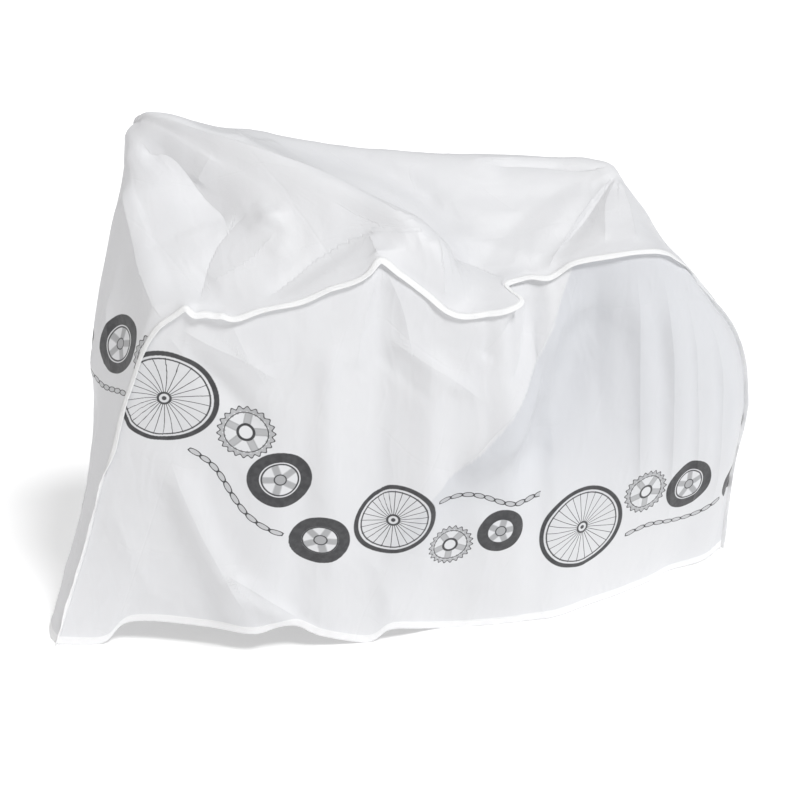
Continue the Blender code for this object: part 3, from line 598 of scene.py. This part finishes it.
def pulled(points):
    """The points with each pull, the same for every cloth and seam near it."""
    for centre, radius, shift in PULLS:
        share = np.exp(-((np.linalg.norm(points - np.array(centre), axis=-1) / radius) ** 2))
        points = points + share[..., None] * np.array(shift)
    return points


def strip_grid():
    """Centre strip: rows from front hem to rear hem, columns from near seam to far seam."""
    stations = seam_stations(NEAR_SEAM, STRIP_END_ROWS, STRIP_TOP_ROWS)
    lines = [seam_line(NEAR_SEAM, STRIP_END_ROWS, STRIP_TOP_ROWS)]
    own, *columns = zip(*STRIP_SECTIONS)
    lines += [through(own, column, stations) for column in columns]
    lines.append(seam_line(FAR_SEAM, STRIP_END_ROWS, STRIP_TOP_ROWS))
    lines = np.array(lines)
    across = np.linspace(0.0, len(lines) - 1.0, STRIP_ACROSS + 1)
    grid = np.array([through(np.arange(len(lines)), lines[:, k], across) for k in range(len(stations))])
    fade = edge_fade(grid.shape[1], STRIP_FADE_LINES)
    grid = raised(grid, STRIP_FOLDS, [0, 1, 2], 1.0, fade)
    for centre, radius, rounds in ROUNDED_PLACES:
        grid = eased(grid, np.array(centre), radius * FINE_RADIUS, rounds * FINE_ROUNDS)
    fine_fade = ease(lines_in(grid.shape[1]) / SEAM_FADE_LINES)
    grid, lines = creased(grid, STRIP_CREASES, [0, 1, 2], 1.0, fine_fade)
    return pulled(crumpled(grid, 1.0, fine_fade, 3.0)), lines


def panel_grid(seam, columns, folds, creases, outward, seed):
    """Side panel: rows of the grid from front to rear, columns from the seam down to the hem."""
    line = seam_line(seam)
    front = line[: PANEL_ROWS + 1][::-1]
    top = line[PANEL_ROWS : PANEL_ROWS + PANEL_COLUMNS + 1]
    rear = line[PANEL_ROWS + PANEL_COLUMNS :]
    stations = even_stations(seam, FRONT_CORNER, REAR_CORNER, PANEL_COLUMNS)
    table = np.array(columns)
    hem = through(table[:, 0], table[:, 1:4], stations)
    belly, bow = through(table[:, 0], table[:, 4:6], stations).T
    drop = np.linalg.norm(top - hem, axis=1)
    down = np.array([hem_marks(length, PANEL_ROWS) for length in drop])
    bulge = 4.0 * down * (1.0 - down)
    grid = top[:, None] + (hem - top)[:, None] * down[..., None]
    grid[..., 1] += np.sign(hem[:, 1].mean()) * belly[:, None] * bulge
    grid[..., 0] += bow[:, None] * bulge
    reach = ease(1.0 - np.arange(PANEL_COLUMNS + 1) / (CORNER_SHARE * PANEL_COLUMNS))
    grid += (front - grid[0])[None] * reach[:, None, None]
    grid += (rear - grid[-1])[None] * reach[::-1][:, None, None]
    fade = edge_fade(PANEL_COLUMNS + 1, PANEL_FADE_LINES)[:, None]
    fade = fade * ease(np.linspace(0.0, 1.0 / TOP_SHARE, PANEL_ROWS + 1))
    grid = raised(grid, folds, [0, 2], outward, fade)
    fade = ease(lines_in(PANEL_COLUMNS + 1) / END_FADE_LINES)[:, None]
    fade = fade * ease(np.arange(PANEL_ROWS + 1) / SEAM_FADE_LINES)
    grid, lines = creased(grid, creases, [0, 2], outward, fade)
    return pulled(crumpled(grid, outward, fade, seed)), lines


def panel_border(grid):
    """The seam side of a panel's grid, from front hem over the top to the rear hem."""
    return np.concatenate([grid[0, ::-1], grid[1:, 0], grid[-1, 1:]])


def carried(values, from_line, to_line):
    """Values at one row of samples along a seam, read at another row of samples along it."""
    old, new = running_length(from_line), running_length(to_line)
    return read_along(new / new[-1], old / old[-1], values)


def seam_frames(line, first_normals, second_normals):
    """Outward and sideways directions of a binding along its seam."""
    out = unit(first_normals + second_normals)
    for _ in range(FRAME_ROUNDS):
        out[1:-1] = unit(out[:-2] + 2.0 * out[1:-1] + out[2:])
    tangent = unit(np.gradient(line, axis=0))
    out = unit(out - tangent * np.sum(out * tangent, axis=1, keepdims=True))
    return out, unit(np.cross(out, tangent))


def placed(name, points, faces, material, replaced=()):
    mesh = bpy.data.meshes.new(name)
    mesh.from_pydata((np.asarray(points) - MIDDLE).tolist(), [], faces)
    mesh.materials.append(material)
    mesh.shade_smooth()
    piece = bpy.data.objects.new(name, mesh)
    bpy.context.scene.collection.objects.link(piece)
    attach(piece, "root")
    if replaced:
        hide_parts(*replaced)
    return piece


def put_map(mesh, name, values):
    """A map of two numbers for each point, kept with the mesh for its material."""
    layer = mesh.uv_layers.new(name=name)
    corners = np.empty(len(mesh.loops), int)
    mesh.loops.foreach_get("vertex_index", corners)
    layer.data.foreach_set("uv", values[corners].astype(np.float32).ravel())


def cloth_piece(name, grid, outward, maps, material, node):
    """A closed thin cloth from its outer grid, with its maps, and that grid with its hem raised."""
    hem = ease((HEM_WIDTH + HEM_ROLL - maps["edges"][..., 1]) / HEM_EDGE)
    grid = grid + grid_normals(grid, outward) * (HEM_STEP * hem)[..., None]
    thickness = CLOTH + (HEM_CLOTH - CLOTH) * hem
    inner = grid - grid_normals(grid, outward) * thickness[..., None]
    across, down = grid.shape[:2]
    count = across * down
    points = np.concatenate([grid.reshape(-1, 3), inner.reshape(-1, 3)])
    index = np.arange(count).reshape(across, down)
    a, b, c, d = index[:-1, :-1], index[1:, :-1], index[1:, 1:], index[:-1, 1:]
    outer = np.stack([a, b, c, d], axis=-1).reshape(-1, 4)
    border = np.concatenate([index[:, 0], index[-1, 1:], index[-2::-1, -1], index[0, -2:0:-1]])
    after = np.roll(border, -1)
    rim = np.stack([after, border, border + count, after + count], axis=-1)
    faces = np.concatenate([outer, outer[:, ::-1] + count, rim])
    if outward < 0:
        faces = faces[:, ::-1]
    piece = placed(name, points, faces.tolist(), material, [node])
    for map_name, values in maps.items():
        flat = values.reshape(-1, 2)
        put_map(piece.data, map_name, np.concatenate([flat, flat]))
    return piece, grid


def band_map(places, route):
    """Metres along the printed band and metres above its centre line."""
    route = rounded_route(route, 20)
    flat, centre_line = (np.insert(v, 2, 0.0, axis=-1) for v in (places, route))
    away, along, _, above = distance_to_route(flat, centre_line, UP)
    return np.stack([along, away * above], axis=-1)


def painted_fold_shade(grid):
    """Painted shade behind the long fold's edge, lighter further back and fading out towards the hem."""
    heights, places = np.array(LONG_FOLD).T
    past = grid[..., 0] - np.interp(grid[..., 2], heights, places)
    share = ease(past / 0.004) * (0.45 + 0.55 * np.exp(-np.maximum(past, 0.0) / 0.24))
    share *= ease((grid[..., 2] - 0.16) / 0.34)
    return np.stack([share, share], axis=-1)


def cloth_maps(grid, band, lines, painted_shade, to_seam, to_hem):
    """Cloth lengths both ways, the printed band, the creases, the painted shade behind the long fold, and
    the distances to seam and hem.
    """
    return {
        "cloth": np.stack([running_length(grid), running_length(grid, 1)], axis=-1),
        "band": band,
        "creases": lines,
        "painted_shade": painted_shade,
        "edges": np.stack([to_seam, to_hem], axis=-1),
    }


def noise_along(marks, scale, seed, row):
    """Smooth noise from -1 to 1 at each mark."""
    return np.array([noise.noise(Vector((m * scale, seed, row))) for m in marks])


def tape(name, line, out, side, material, node, seed, down):
    """Folded tape on a seam, slightly puckered, lying over to the panel along the top."""
    length = running_length(line)
    marks = np.append(np.arange(0.0, length[-1], TAPE_STEP), length[-1])
    line, out, side = (read_along(marks, length, v) for v in (line, out, side))
    tangent = unit(np.gradient(line, axis=0))
    lean = 0.45 * noise_along(marks, 3.0, seed, 0.0) + 0.40 * noise_along(marks, 15.0, seed, 4.0)
    over = ease((line[:, 2] - 0.40) / 0.12) * ease((1.16 - line[:, 0]) / 0.10)
    lean += down * (TAPE_LEAN_LOW + (TAPE_LEAN - TAPE_LEAN_LOW) * over)
    pucker, uneven = noise_along(marks, 52.0, seed, 9.0), noise_along(marks, 9.0, seed, 2.0)
    out, side = (
        unit(out * np.cos(lean)[:, None] + side * np.sin(lean)[:, None]),
        unit(side * np.cos(lean)[:, None] - out * np.sin(lean)[:, None]),
    )
    half = TAPE_THICK / 2
    foot, waist = (half * 1.25, TAPE_FOOT), (half * 0.9, TAPE_PROUD * 0.45)
    profile = [(-half, -TAPE_INSIDE), (half, -TAPE_INSIDE), foot, waist]
    for angle in np.radians(np.linspace(0.0, 180.0, 7)):
        profile.append((half * math.cos(angle), TAPE_PROUD - half + half * math.sin(angle)))
    profile += [(-x, z) for x, z in (waist, foot)]
    ripple, proud = pucker * 0.0011, 1.0 + 0.05 * pucker + 0.30 * uneven
    rings = np.stack([
        line + side * (x + ripple * max(z, 0.0) / TAPE_PROUD)[:, None] + out * (z * proud)[:, None]
        for x, z in profile
    ], axis=1)
    count, sides = rings.shape[:2]
    index = np.arange(count * sides).reshape(count, sides)
    after = np.roll(index, -1, axis=1)
    faces = np.stack([index[:-1], after[:-1], after[1:], index[1:]], axis=-1).reshape(-1, 4).tolist()
    faces += [index[0, ::-1].tolist(), index[-1].tolist()]
    piece = placed(name, rings.reshape(-1, 3), faces, material, [node])
    height = np.array([z for _, z in profile])
    values = np.stack(np.broadcast_arrays(marks[:, None], height[None, :]), axis=-1).reshape(-1, 2)
    put_map(piece.data, "cloth", values)
    return marks, line, tangent, out, side


def stitches(name, centres, along, out, material, slot):
    """A row of short round stitches, half sunk."""
    across = unit(np.cross(along, out))
    points, faces = [], []
    for k, (centre, a, o, s) in enumerate(zip(centres, along, out, across)):
        base = len(points)
        for end, size, sink in ((-0.5, 0.45, 0.5), (-0.3, 1.0, 0.0), (0.3, 1.0, 0.0), (0.5, 0.45, 0.5)):
            for angle in np.radians((0, 60, 120, 180, 240, 300)):
                lift = THREAD * (math.sin(angle) * size - sink)
                points.append(centre + a * end * STITCH + o * lift + s * THREAD * math.cos(angle) * size)
        for ring in range(3):
            for j in range(6):
                p, q = base + ring * 6 + j, base + ring * 6 + (j + 1) % 6
                faces.append((p, q, q + 6, p + 6))
        faces.append(tuple(base + j for j in range(6))[::-1])
        faces.append(tuple(base + 18 + j for j in range(6)))
    return placed(name, np.array(points), faces, material)


def tape_stitches(name, rows, material):
    """Stitches on both faces of a tape, near the cloth."""
    marks = rows[0]
    at = np.arange(STITCH_MARGIN, marks[-1] - STITCH_MARGIN, STITCH_PITCH)
    line, tangent, out, side = (read_along(at, marks, row) for row in rows[1:])
    tangent, out, side = unit(tangent), unit(out), unit(side)
    centres = [line + out * STITCH_HEIGHT + side * face * TAPE_THICK * 0.49 for face in (1.0, -1.0)]
    both = map(np.concatenate, (centres, (tangent, tangent), (side, -side)))
    return stitches(name, *both, material, "binding")


def hem_stitch_line(line, normals):
    """Centres, directions and facings of the stitches along one line of points."""
    length = running_length(line)
    at = np.arange(HEM_STITCH_MARGIN, length[-1] - HEM_STITCH_MARGIN, STITCH_PITCH)
    centres = read_along(at, length, line)
    return centres, unit(np.gradient(centres, axis=0)), unit(read_along(at, length, normals))


class Value:
    """A number that changes over the surface; an expression on it adds its Math nodes."""

    def __init__(self, tree, socket):
        self.tree, self.socket = tree, socket

    def math(self, operation, *others):
        node = self.tree.nodes.new("ShaderNodeMath")
        node.operation = operation
        for plug, value in zip(node.inputs, (self, *others)):
            if isinstance(value, Value):
                self.tree.links.new(value.socket, plug)
            else:
                plug.default_value = value
        return Value(self.tree, node.outputs[0])

    def __rsub__(self, other):
        return (self * -1.0).math("ADD", other)

    def __neg__(self):
        return self * -1.0

    def __abs__(self):
        return self.math("ABSOLUTE")

    def within(self, low, high):
        """1 between two values, 0 outside."""
        return self.math("GREATER_THAN", low) * self.math("LESS_THAN", high)

    def sine(self, length):
        """Waves of one length."""
        return (self * (2.0 * math.pi / length)).math("SINE")

    def smooth(self, low, high):
        """0 below low, 1 above high, eased between."""
        t = ((self - low) / (high - low)).high(0.0).low(1.0)
        return t * t * (3.0 - 2.0 * t)


for method, operation in {
    "__add__": "ADD", "__radd__": "ADD", "__sub__": "SUBTRACT", "__mul__": "MULTIPLY",
    "__rmul__": "MULTIPLY", "__truediv__": "DIVIDE", "__mod__": "FLOORED_MODULO", "__pow__": "POWER",
    "low": "MINIMUM", "high": "MAXIMUM",
}.items():
    setattr(Value, method, lambda self, other, operation=operation: self.math(operation, other))


class Finish:
    """A material with its node tree."""

    def __init__(self, name):
        self.material = bpy.data.materials.new(name)
        self.material.use_nodes = True
        self.tree = self.material.node_tree
        self.shader = self.tree.nodes["Principled BSDF"]

    def node(self, kind, settings=None, **sockets):
        """A node of one type: its settings first, then the values or links of its sockets."""
        made = self.tree.nodes.new(kind)
        for key, value in (settings or {}).items():
            setattr(made, key, value)
        for key, value in sockets.items():
            plug = made.inputs[int(key[1:])] if key[1:].isdigit() else made.inputs[key.replace("_", " ")]
            self.link(value, plug)
        return made

    def link(self, value, plug):
        if isinstance(value, Value):
            value = value.socket
        if isinstance(value, bpy.types.NodeSocket):
            self.tree.links.new(value, plug)
        else:
            plug.default_value = value

    def value(self, socket):
        return Value(self.tree, socket)

    def map(self, name):
        """The two numbers of one of the mesh's maps."""
        place = self.node("ShaderNodeUVMap", {"uv_map": name})
        parts = self.node("ShaderNodeSeparateXYZ", Vector=place.outputs[0])
        return self.value(parts.outputs[0]), self.value(parts.outputs[1])

    def grain(self, places, scale, detail=3.0, distortion=0.0, roughness=0.5):
        """Soft noise from 0 to 1."""
        made = self.node(
            "ShaderNodeTexNoise", Vector=places, Scale=scale, Detail=detail, Roughness=roughness,
            Distortion=distortion,
        )
        return self.value(made.outputs[0])

    def blend(self, share, first, second):
        made = self.node("ShaderNodeMix", {"data_type": "RGBA"}, _0=share, _6=first, _7=second)
        return made.outputs[2]

    def bump(self, height, distance, strength, after=None):
        made = self.node("ShaderNodeBump", Height=height, Distance=distance, Strength=strength)
        if after is not None:
            self.link(after.outputs[0], made.inputs["Normal"])
        return made

    def set(self, **sockets):
        for key, value in sockets.items():
            self.link(value, self.shader.inputs[key.replace("_", " ")])


def rgb(red, green, blue):
    return (red, green, blue, 1.0)


def ring(away, radius, width):
    """1 on a ring of a given middle radius and width."""
    return 1.0 - abs(away - radius).smooth(max(width / 2.0 - INK_EDGE, 0.0), width / 2.0 + INK_EDGE)


def disc(away, radius):
    return 1.0 - away.smooth(radius - INK_EDGE, radius + INK_EDGE)


def polar(along, above, centre):
    """Distance and angle from a motif's centre."""
    x, y = along - centre[0], above - centre[1]
    return (x * x + y * y).math("SQRT"), y.math("ARCTAN2", x)


def rays(away, angle, count, width, turn=0.0):
    """1 on straight arms from a centre, each of one width in metres."""
    step = 2.0 * math.pi / count
    off = abs(((angle + turn) % step) - step / 2.0) * away
    return 1.0 - off.smooth(width * 0.35, width * 0.65)


def either(*masks):
    shown = masks[0]
    for mask in masks[1:]:
        shown = shown.high(mask)
    return shown


def spoked_wheel(along, above, centre, radius):
    """Wheel with a dark tyre, a thin rim, fine spokes and a hub: (dark ink, grey ink)."""
    away, angle = polar(along, above, centre)
    inside = disc(away, radius)
    tyre = ring(away, radius - 0.0055, 0.0085)
    rim = ring(away, radius - 0.0150, 0.0026)
    spokes = rays(away, angle, 26, 0.0012) * away.within(0.010, radius - 0.013)
    hub = ring(away, 0.0105, 0.0040) + disc(away, 0.0040)
    return either(tyre, rim, spokes, hub.low(1.0)), inside * 0.06


def disc_wheel(along, above, centre, radius):
    """Small wheel with a fat tyre and five grey arms."""
    away, angle = polar(along, above, centre)
    tyre = ring(away, radius - 0.0110, 0.0200)
    rim = ring(away, radius * 0.56, 0.0030)
    arms = rays(away, angle, 5, 0.0125, 0.4) * away.within(0.008, radius * 0.56)
    hub = disc(away, 0.0100)
    return either(tyre, rim, ring(away, 0.0100, 0.0022)), either(arms, hub) * 0.55


def toothed_ring(along, above, centre, radius):
    """Chain ring with teeth, five arms and a round centre."""
    away, angle = polar(along, above, centre)
    teeth = (angle * 22.0).math("SINE") * 0.0026
    body = (away - teeth).within(radius * 0.80, radius)
    outline = ring(away - teeth, radius, 0.0022)
    arms = rays(away, angle, 5, 0.0100, 0.9) * away.within(0.012, radius * 0.82)
    edges = rays(away, angle, 5, 0.0120, 0.9) * away.within(0.012, radius * 0.82)
    hub = ring(away, 0.0130, 0.0045)
    inner = ring(away, radius * 0.80, 0.0018)
    return either(outline, inner, hub, edges - arms), either(body, arms) * 0.45


def chain_run(along, above, start, end, height, wave):
    """Row of link plates along a shallow wave."""
    pitch = 0.0210
    y = above - height - (along - start).sine(end - start) * wave
    x = ((along - start) % pitch) - pitch / 2.0
    shape = ((x / 0.0118) ** 2 + (y / 0.0052) ** 2).math("SQRT")
    shown = along.within(start, end)
    plate = (1.0 - shape.smooth(0.92, 1.04)) * shown
    line = (1.0 - abs(shape - 0.92).smooth(0.10, 0.20)) * shown
    pins = 1.0 - ((abs(x) - pitch / 2.0) ** 2 + y**2).math("SQRT").smooth(0.0015, 0.0021)
    return either(line, pins * shown), plate * 0.30


def printed_ink(finish):
    """The generic band, as dark and grey ink: wheels, toothed rings and chain runs in a stepped row."""
    along, above = finish.map("band")
    along, above = (along / BAND_SCALE) % BAND_REPEAT, above / BAND_SCALE
    inks = [motif(along, above, *place) for motif, *place in (
        (spoked_wheel, (0.105, -0.018), 0.088),
        (toothed_ring, (0.236, 0.036), 0.044),
        (chain_run, 0.205, 0.415, -0.058, 0.010),
        (disc_wheel, (0.340, 0.022), 0.056),
        (disc_wheel, (0.470, -0.040), 0.050),
        (spoked_wheel, (0.585, 0.022), 0.074),
        (toothed_ring, (0.700, -0.044), 0.040),
        (chain_run, 0.660, 0.860, 0.056, 0.012),
        (disc_wheel, (0.790, -0.012), 0.046),
    )]
    return [either(*layer) for layer in zip(*inks)]


def packed_creases(along, pitch):
    """Creases from packing, one to a pitch: 0 on each, 1 beside it."""
    return abs((along % pitch) - pitch / 2.0).smooth(0.0, PACKING_WIDTH)


def coated_cloth():
    finish = Finish("coated_cloth")
    length, width = finish.map("cloth")
    to_seam, to_hem = finish.map("edges")
    place = finish.node("ShaderNodeTexCoord").outputs["Object"]
    mottle = finish.grain(place, 3.2, 4.0)
    cloud = finish.grain(place, 14.0, 3.0)
    hem = 1.0 - to_hem.smooth(HEM_WIDTH - 0.0010, HEM_WIDTH + HEM_ROLL)

    # Painted shade behind the long fold on the near panel, mixed in below as a greyer colour.
    painted_shade, _ = finish.map("painted_shade")
    dark, grey = printed_ink(finish)
    wear = finish.grain(place, 90.0, 2.0).smooth(0.30, 0.70) * 0.03 + 0.96
    body = rgb(0.685, 0.690, 0.712)
    for share, colour in (
        (mottle, (0.725, 0.728, 0.740)), (cloud * 0.25, (0.745, 0.745, 0.745)),
        (painted_shade * 0.85, (0.585, 0.598, 0.628)), (hem * 0.8, (0.87, 0.87, 0.875)),
        (grey * wear, (0.105, 0.107, 0.112)), (dark * wear, (0.030, 0.030, 0.033)),
    ):
        body = finish.blend(share, body, rgb(*colour))

    threads = length.sine(0.00090) * width.sine(0.00090)
    stretched = finish.node("ShaderNodeMapping", Vector=place, Scale=(1.0, 1.0, 0.32)).outputs[0]
    drawn = finish.grain(stretched, 26.0, 3.0, 0.3)
    facets = finish.node(
        "ShaderNodeTexVoronoi", {"feature": "DISTANCE_TO_EDGE"}, Vector=stretched, Scale=23.0)
    folds = finish.value(facets.outputs[0]).smooth(0.0, 0.16)
    packing = packed_creases(length, 0.270) + packed_creases(width, 0.230)

    from_crease, crease = finish.map("creases")
    edge = (-abs(from_crease) / CREASE_LINE).math("EXPONENT") * crease

    lines = None
    for height, distance, strength in (
        (threads, 0.00003, 0.5), (drawn, 0.0012, 0.45), (folds, 0.00022, 0.5), (packing, 0.0003, 0.5),
        (edge, 0.0013, 1.0),
    ):
        lines = finish.bump(height, distance, strength, lines)
    finish.set(
        Base_Color=body,
        Roughness=0.44 + cloud * 0.12 - grey * 0.05,
        Normal=lines.outputs[0],
        IOR=1.45,
        Sheen_Weight=0.06,
    )
    return finish.material


def tape_cloth():
    finish = Finish("binding_tape")
    along, across = finish.map("cloth")
    place = finish.node("ShaderNodeTexCoord").outputs["Object"]
    cloud = finish.grain(place, 60.0, 3.0)
    ribs = along.sine(0.0011) + across.sine(0.0013) * 0.5
    weave = finish.bump(ribs, 0.00008, 0.6)
    soft = finish.bump(cloud, 0.0006, 0.5, weave)
    body = finish.blend(cloud, rgb(0.83, 0.835, 0.84), rgb(0.88, 0.88, 0.88))
    finish.set(Base_Color=body, Roughness=0.50 + cloud * 0.15, Normal=soft.outputs[0])
    return finish.material


def thread():
    finish = Finish("sewing_thread")
    place = finish.node("ShaderNodeTexCoord").outputs["Object"]
    twist = finish.grain(place, 2400.0, 1.0)
    body = finish.blend(twist, rgb(0.78, 0.78, 0.78), rgb(0.90, 0.90, 0.895))
    finish.set(Base_Color=body, Roughness=0.55 + twist * 0.1)
    return finish.material


def floor_paint():
    finish = Finish("pale_floor")
    finish.set(
        Base_Color=rgb(0.72, 0.72, 0.72), Roughness=0.9, Specular_IOR_Level=0.1,
        Emission_Color=rgb(1.0, 1.0, 1.0), Emission_Strength=0.46,
    )
    return finish.material


def build_cover():
    cloth, tape_finish, sewing = coated_cloth(), tape_cloth(), thread()
    strip, strip_lines = strip_grid()
    strip_normals = grid_normals(strip, 1.0)
    sides = (
        ("near", NEAR_SEAM, NEAR_COLUMNS, NEAR_FOLDS, NEAR_CREASES, NEAR_BAND, -1.0, 0, 0.0,
         (1.75, 0.92), 1.19),
        ("far", FAR_SEAM, FAR_COLUMNS, FAR_FOLDS, FAR_CREASES, FAR_BAND, 1.0, -1, 7.0,
         (1.70, 0.92), 1.13),
    )
    hem_rows, tapes, sheets = [], [], []
    for side_name, seam, columns, folds, creases, band, outward, edge, seed, flat, area in sides:
        panel, lines = panel_grid(seam, columns, folds, creases, outward, seed)
        normals = grid_normals(panel, outward)
        line = pulled(seam_line(seam))
        beside = carried(strip_normals[:, edge], strip[:, edge], line)
        out, side = seam_frames(line, panel_border(normals), beside)

        drop, run = running_length(panel, 1), running_length(panel)
        to_seam = np.minimum(np.minimum(run, run[-1:] - run), drop)
        # Painted shade behind the long fold, on the near panel only.
        painted_shade = painted_fold_shade(panel) * (outward < 0)
        places = band_map(panel[..., [0, 2]], band)
        maps = cloth_maps(panel, places, lines, painted_shade, to_seam, drop[:, -1:] - drop)
        node = f"{side_name}_side_panel"
        piece, panel = cloth_piece(f"{side_name}_panel_cloth", panel, outward, maps, cloth, node)
        sheets.append((piece, flat, area))
        node = f"{side_name}_seam_binding"
        tapes.append((f"{side_name}_binding_tape", line, out, side, node, seed, outward))
        row = PANEL_ROWS - HEM_ROWS + 1
        hem_rows.append((panel[HEM_ENDS, row], grid_normals(panel, outward)[HEM_ENDS, row]))

    run, width = running_length(strip), running_length(strip, 1)
    to_seam, to_hem = np.minimum(width, width[:, -1:] - width), np.minimum(run, run[-1:] - run)
    at_front = strip[..., 0] < MIDDLE[0]
    band = np.stack([
        width + np.where(at_front, FRONT_BAND_START, REAR_BAND_START),
        strip[..., 2] - np.where(at_front, FRONT_BAND_HEIGHT, REAR_BAND_HEIGHT),
    ], axis=-1)
    maps = cloth_maps(strip, band, strip_lines, np.zeros_like(strip[..., :2]), to_seam, to_hem)
    piece, strip = cloth_piece("strip_cloth", strip, 1.0, maps, cloth, "centre_strip")
    sheets.append((piece, (0.62, 3.30), 1.23))
    for row in (HEM_ROWS - 1, -HEM_ROWS):
        hem_rows.append((strip[row, HEM_ENDS], grid_normals(strip, 1.0)[row, HEM_ENDS]))

    for name, line, out, side, node, seed, down in tapes:
        rows = tape(name, line, out, side, tape_finish, node, seed, down)
        tape_stitches(name.replace("tape", "stitching"), rows, sewing)
    parts = zip(*(hem_stitch_line(*row) for row in hem_rows))
    stitches("hem_stitching", *map(np.concatenate, parts), sewing, "cloth")


def build_stage():
    bpy.ops.mesh.primitive_plane_add(size=FLOOR_ACROSS)
    floor = bpy.context.object
    floor.name = "floor"
    floor.data.materials.append(floor_paint())

    world = bpy.data.worlds.new("studio")
    world.use_nodes = True
    sky = world.node_tree.nodes["Background"].inputs
    sky["Color"].default_value, sky["Strength"].default_value = rgb(0.95, 0.97, 1.0), 0.21
    bpy.context.scene.world = world

    for name, energy, angle, colour, towards in (
        ("key", 2.52, 14.0, (1.0, 1.0, 1.0), (0.25, -0.49, 0.835)),
        ("front_fill", 0.15, 60.0, (0.97, 0.98, 1.0), (0.05, -0.95, 0.30)),
        ("left_fill", 0.30, 60.0, (1.0, 0.89, 0.80), (-0.92, -0.20, 0.30)),
        ("back_fill", 0.50, 60.0, (1.0, 1.0, 1.0), (-0.25, 0.75, 0.60)),
    ):
        light = bpy.data.lights.new(name, "SUN")
        light.energy, light.angle, light.color = energy, math.radians(angle), colour
        lamp = bpy.data.objects.new(name, light)
        lamp.rotation_euler = Vector(towards).to_track_quat("Z", "Y").to_euler()
        bpy.context.scene.collection.objects.link(lamp)

    camera = bpy.data.cameras.new("camera")
    camera.lens, camera.sensor_width, camera.clip_end = CAMERA_LENS, 36.0, 200.0
    eye = bpy.data.objects.new("camera", camera)
    eye.location = Vector(CAMERA_PLACE) - Vector(MIDDLE)
    eye.rotation_euler = (math.radians(90.0 - CAMERA_DOWN), 0.0, math.radians(-CAMERA_RIGHT))
    bpy.context.scene.collection.objects.link(eye)
    bpy.context.scene.camera = eye
    bpy.context.scene.view_settings.view_transform = "Standard"


build_cover()
build_stage()
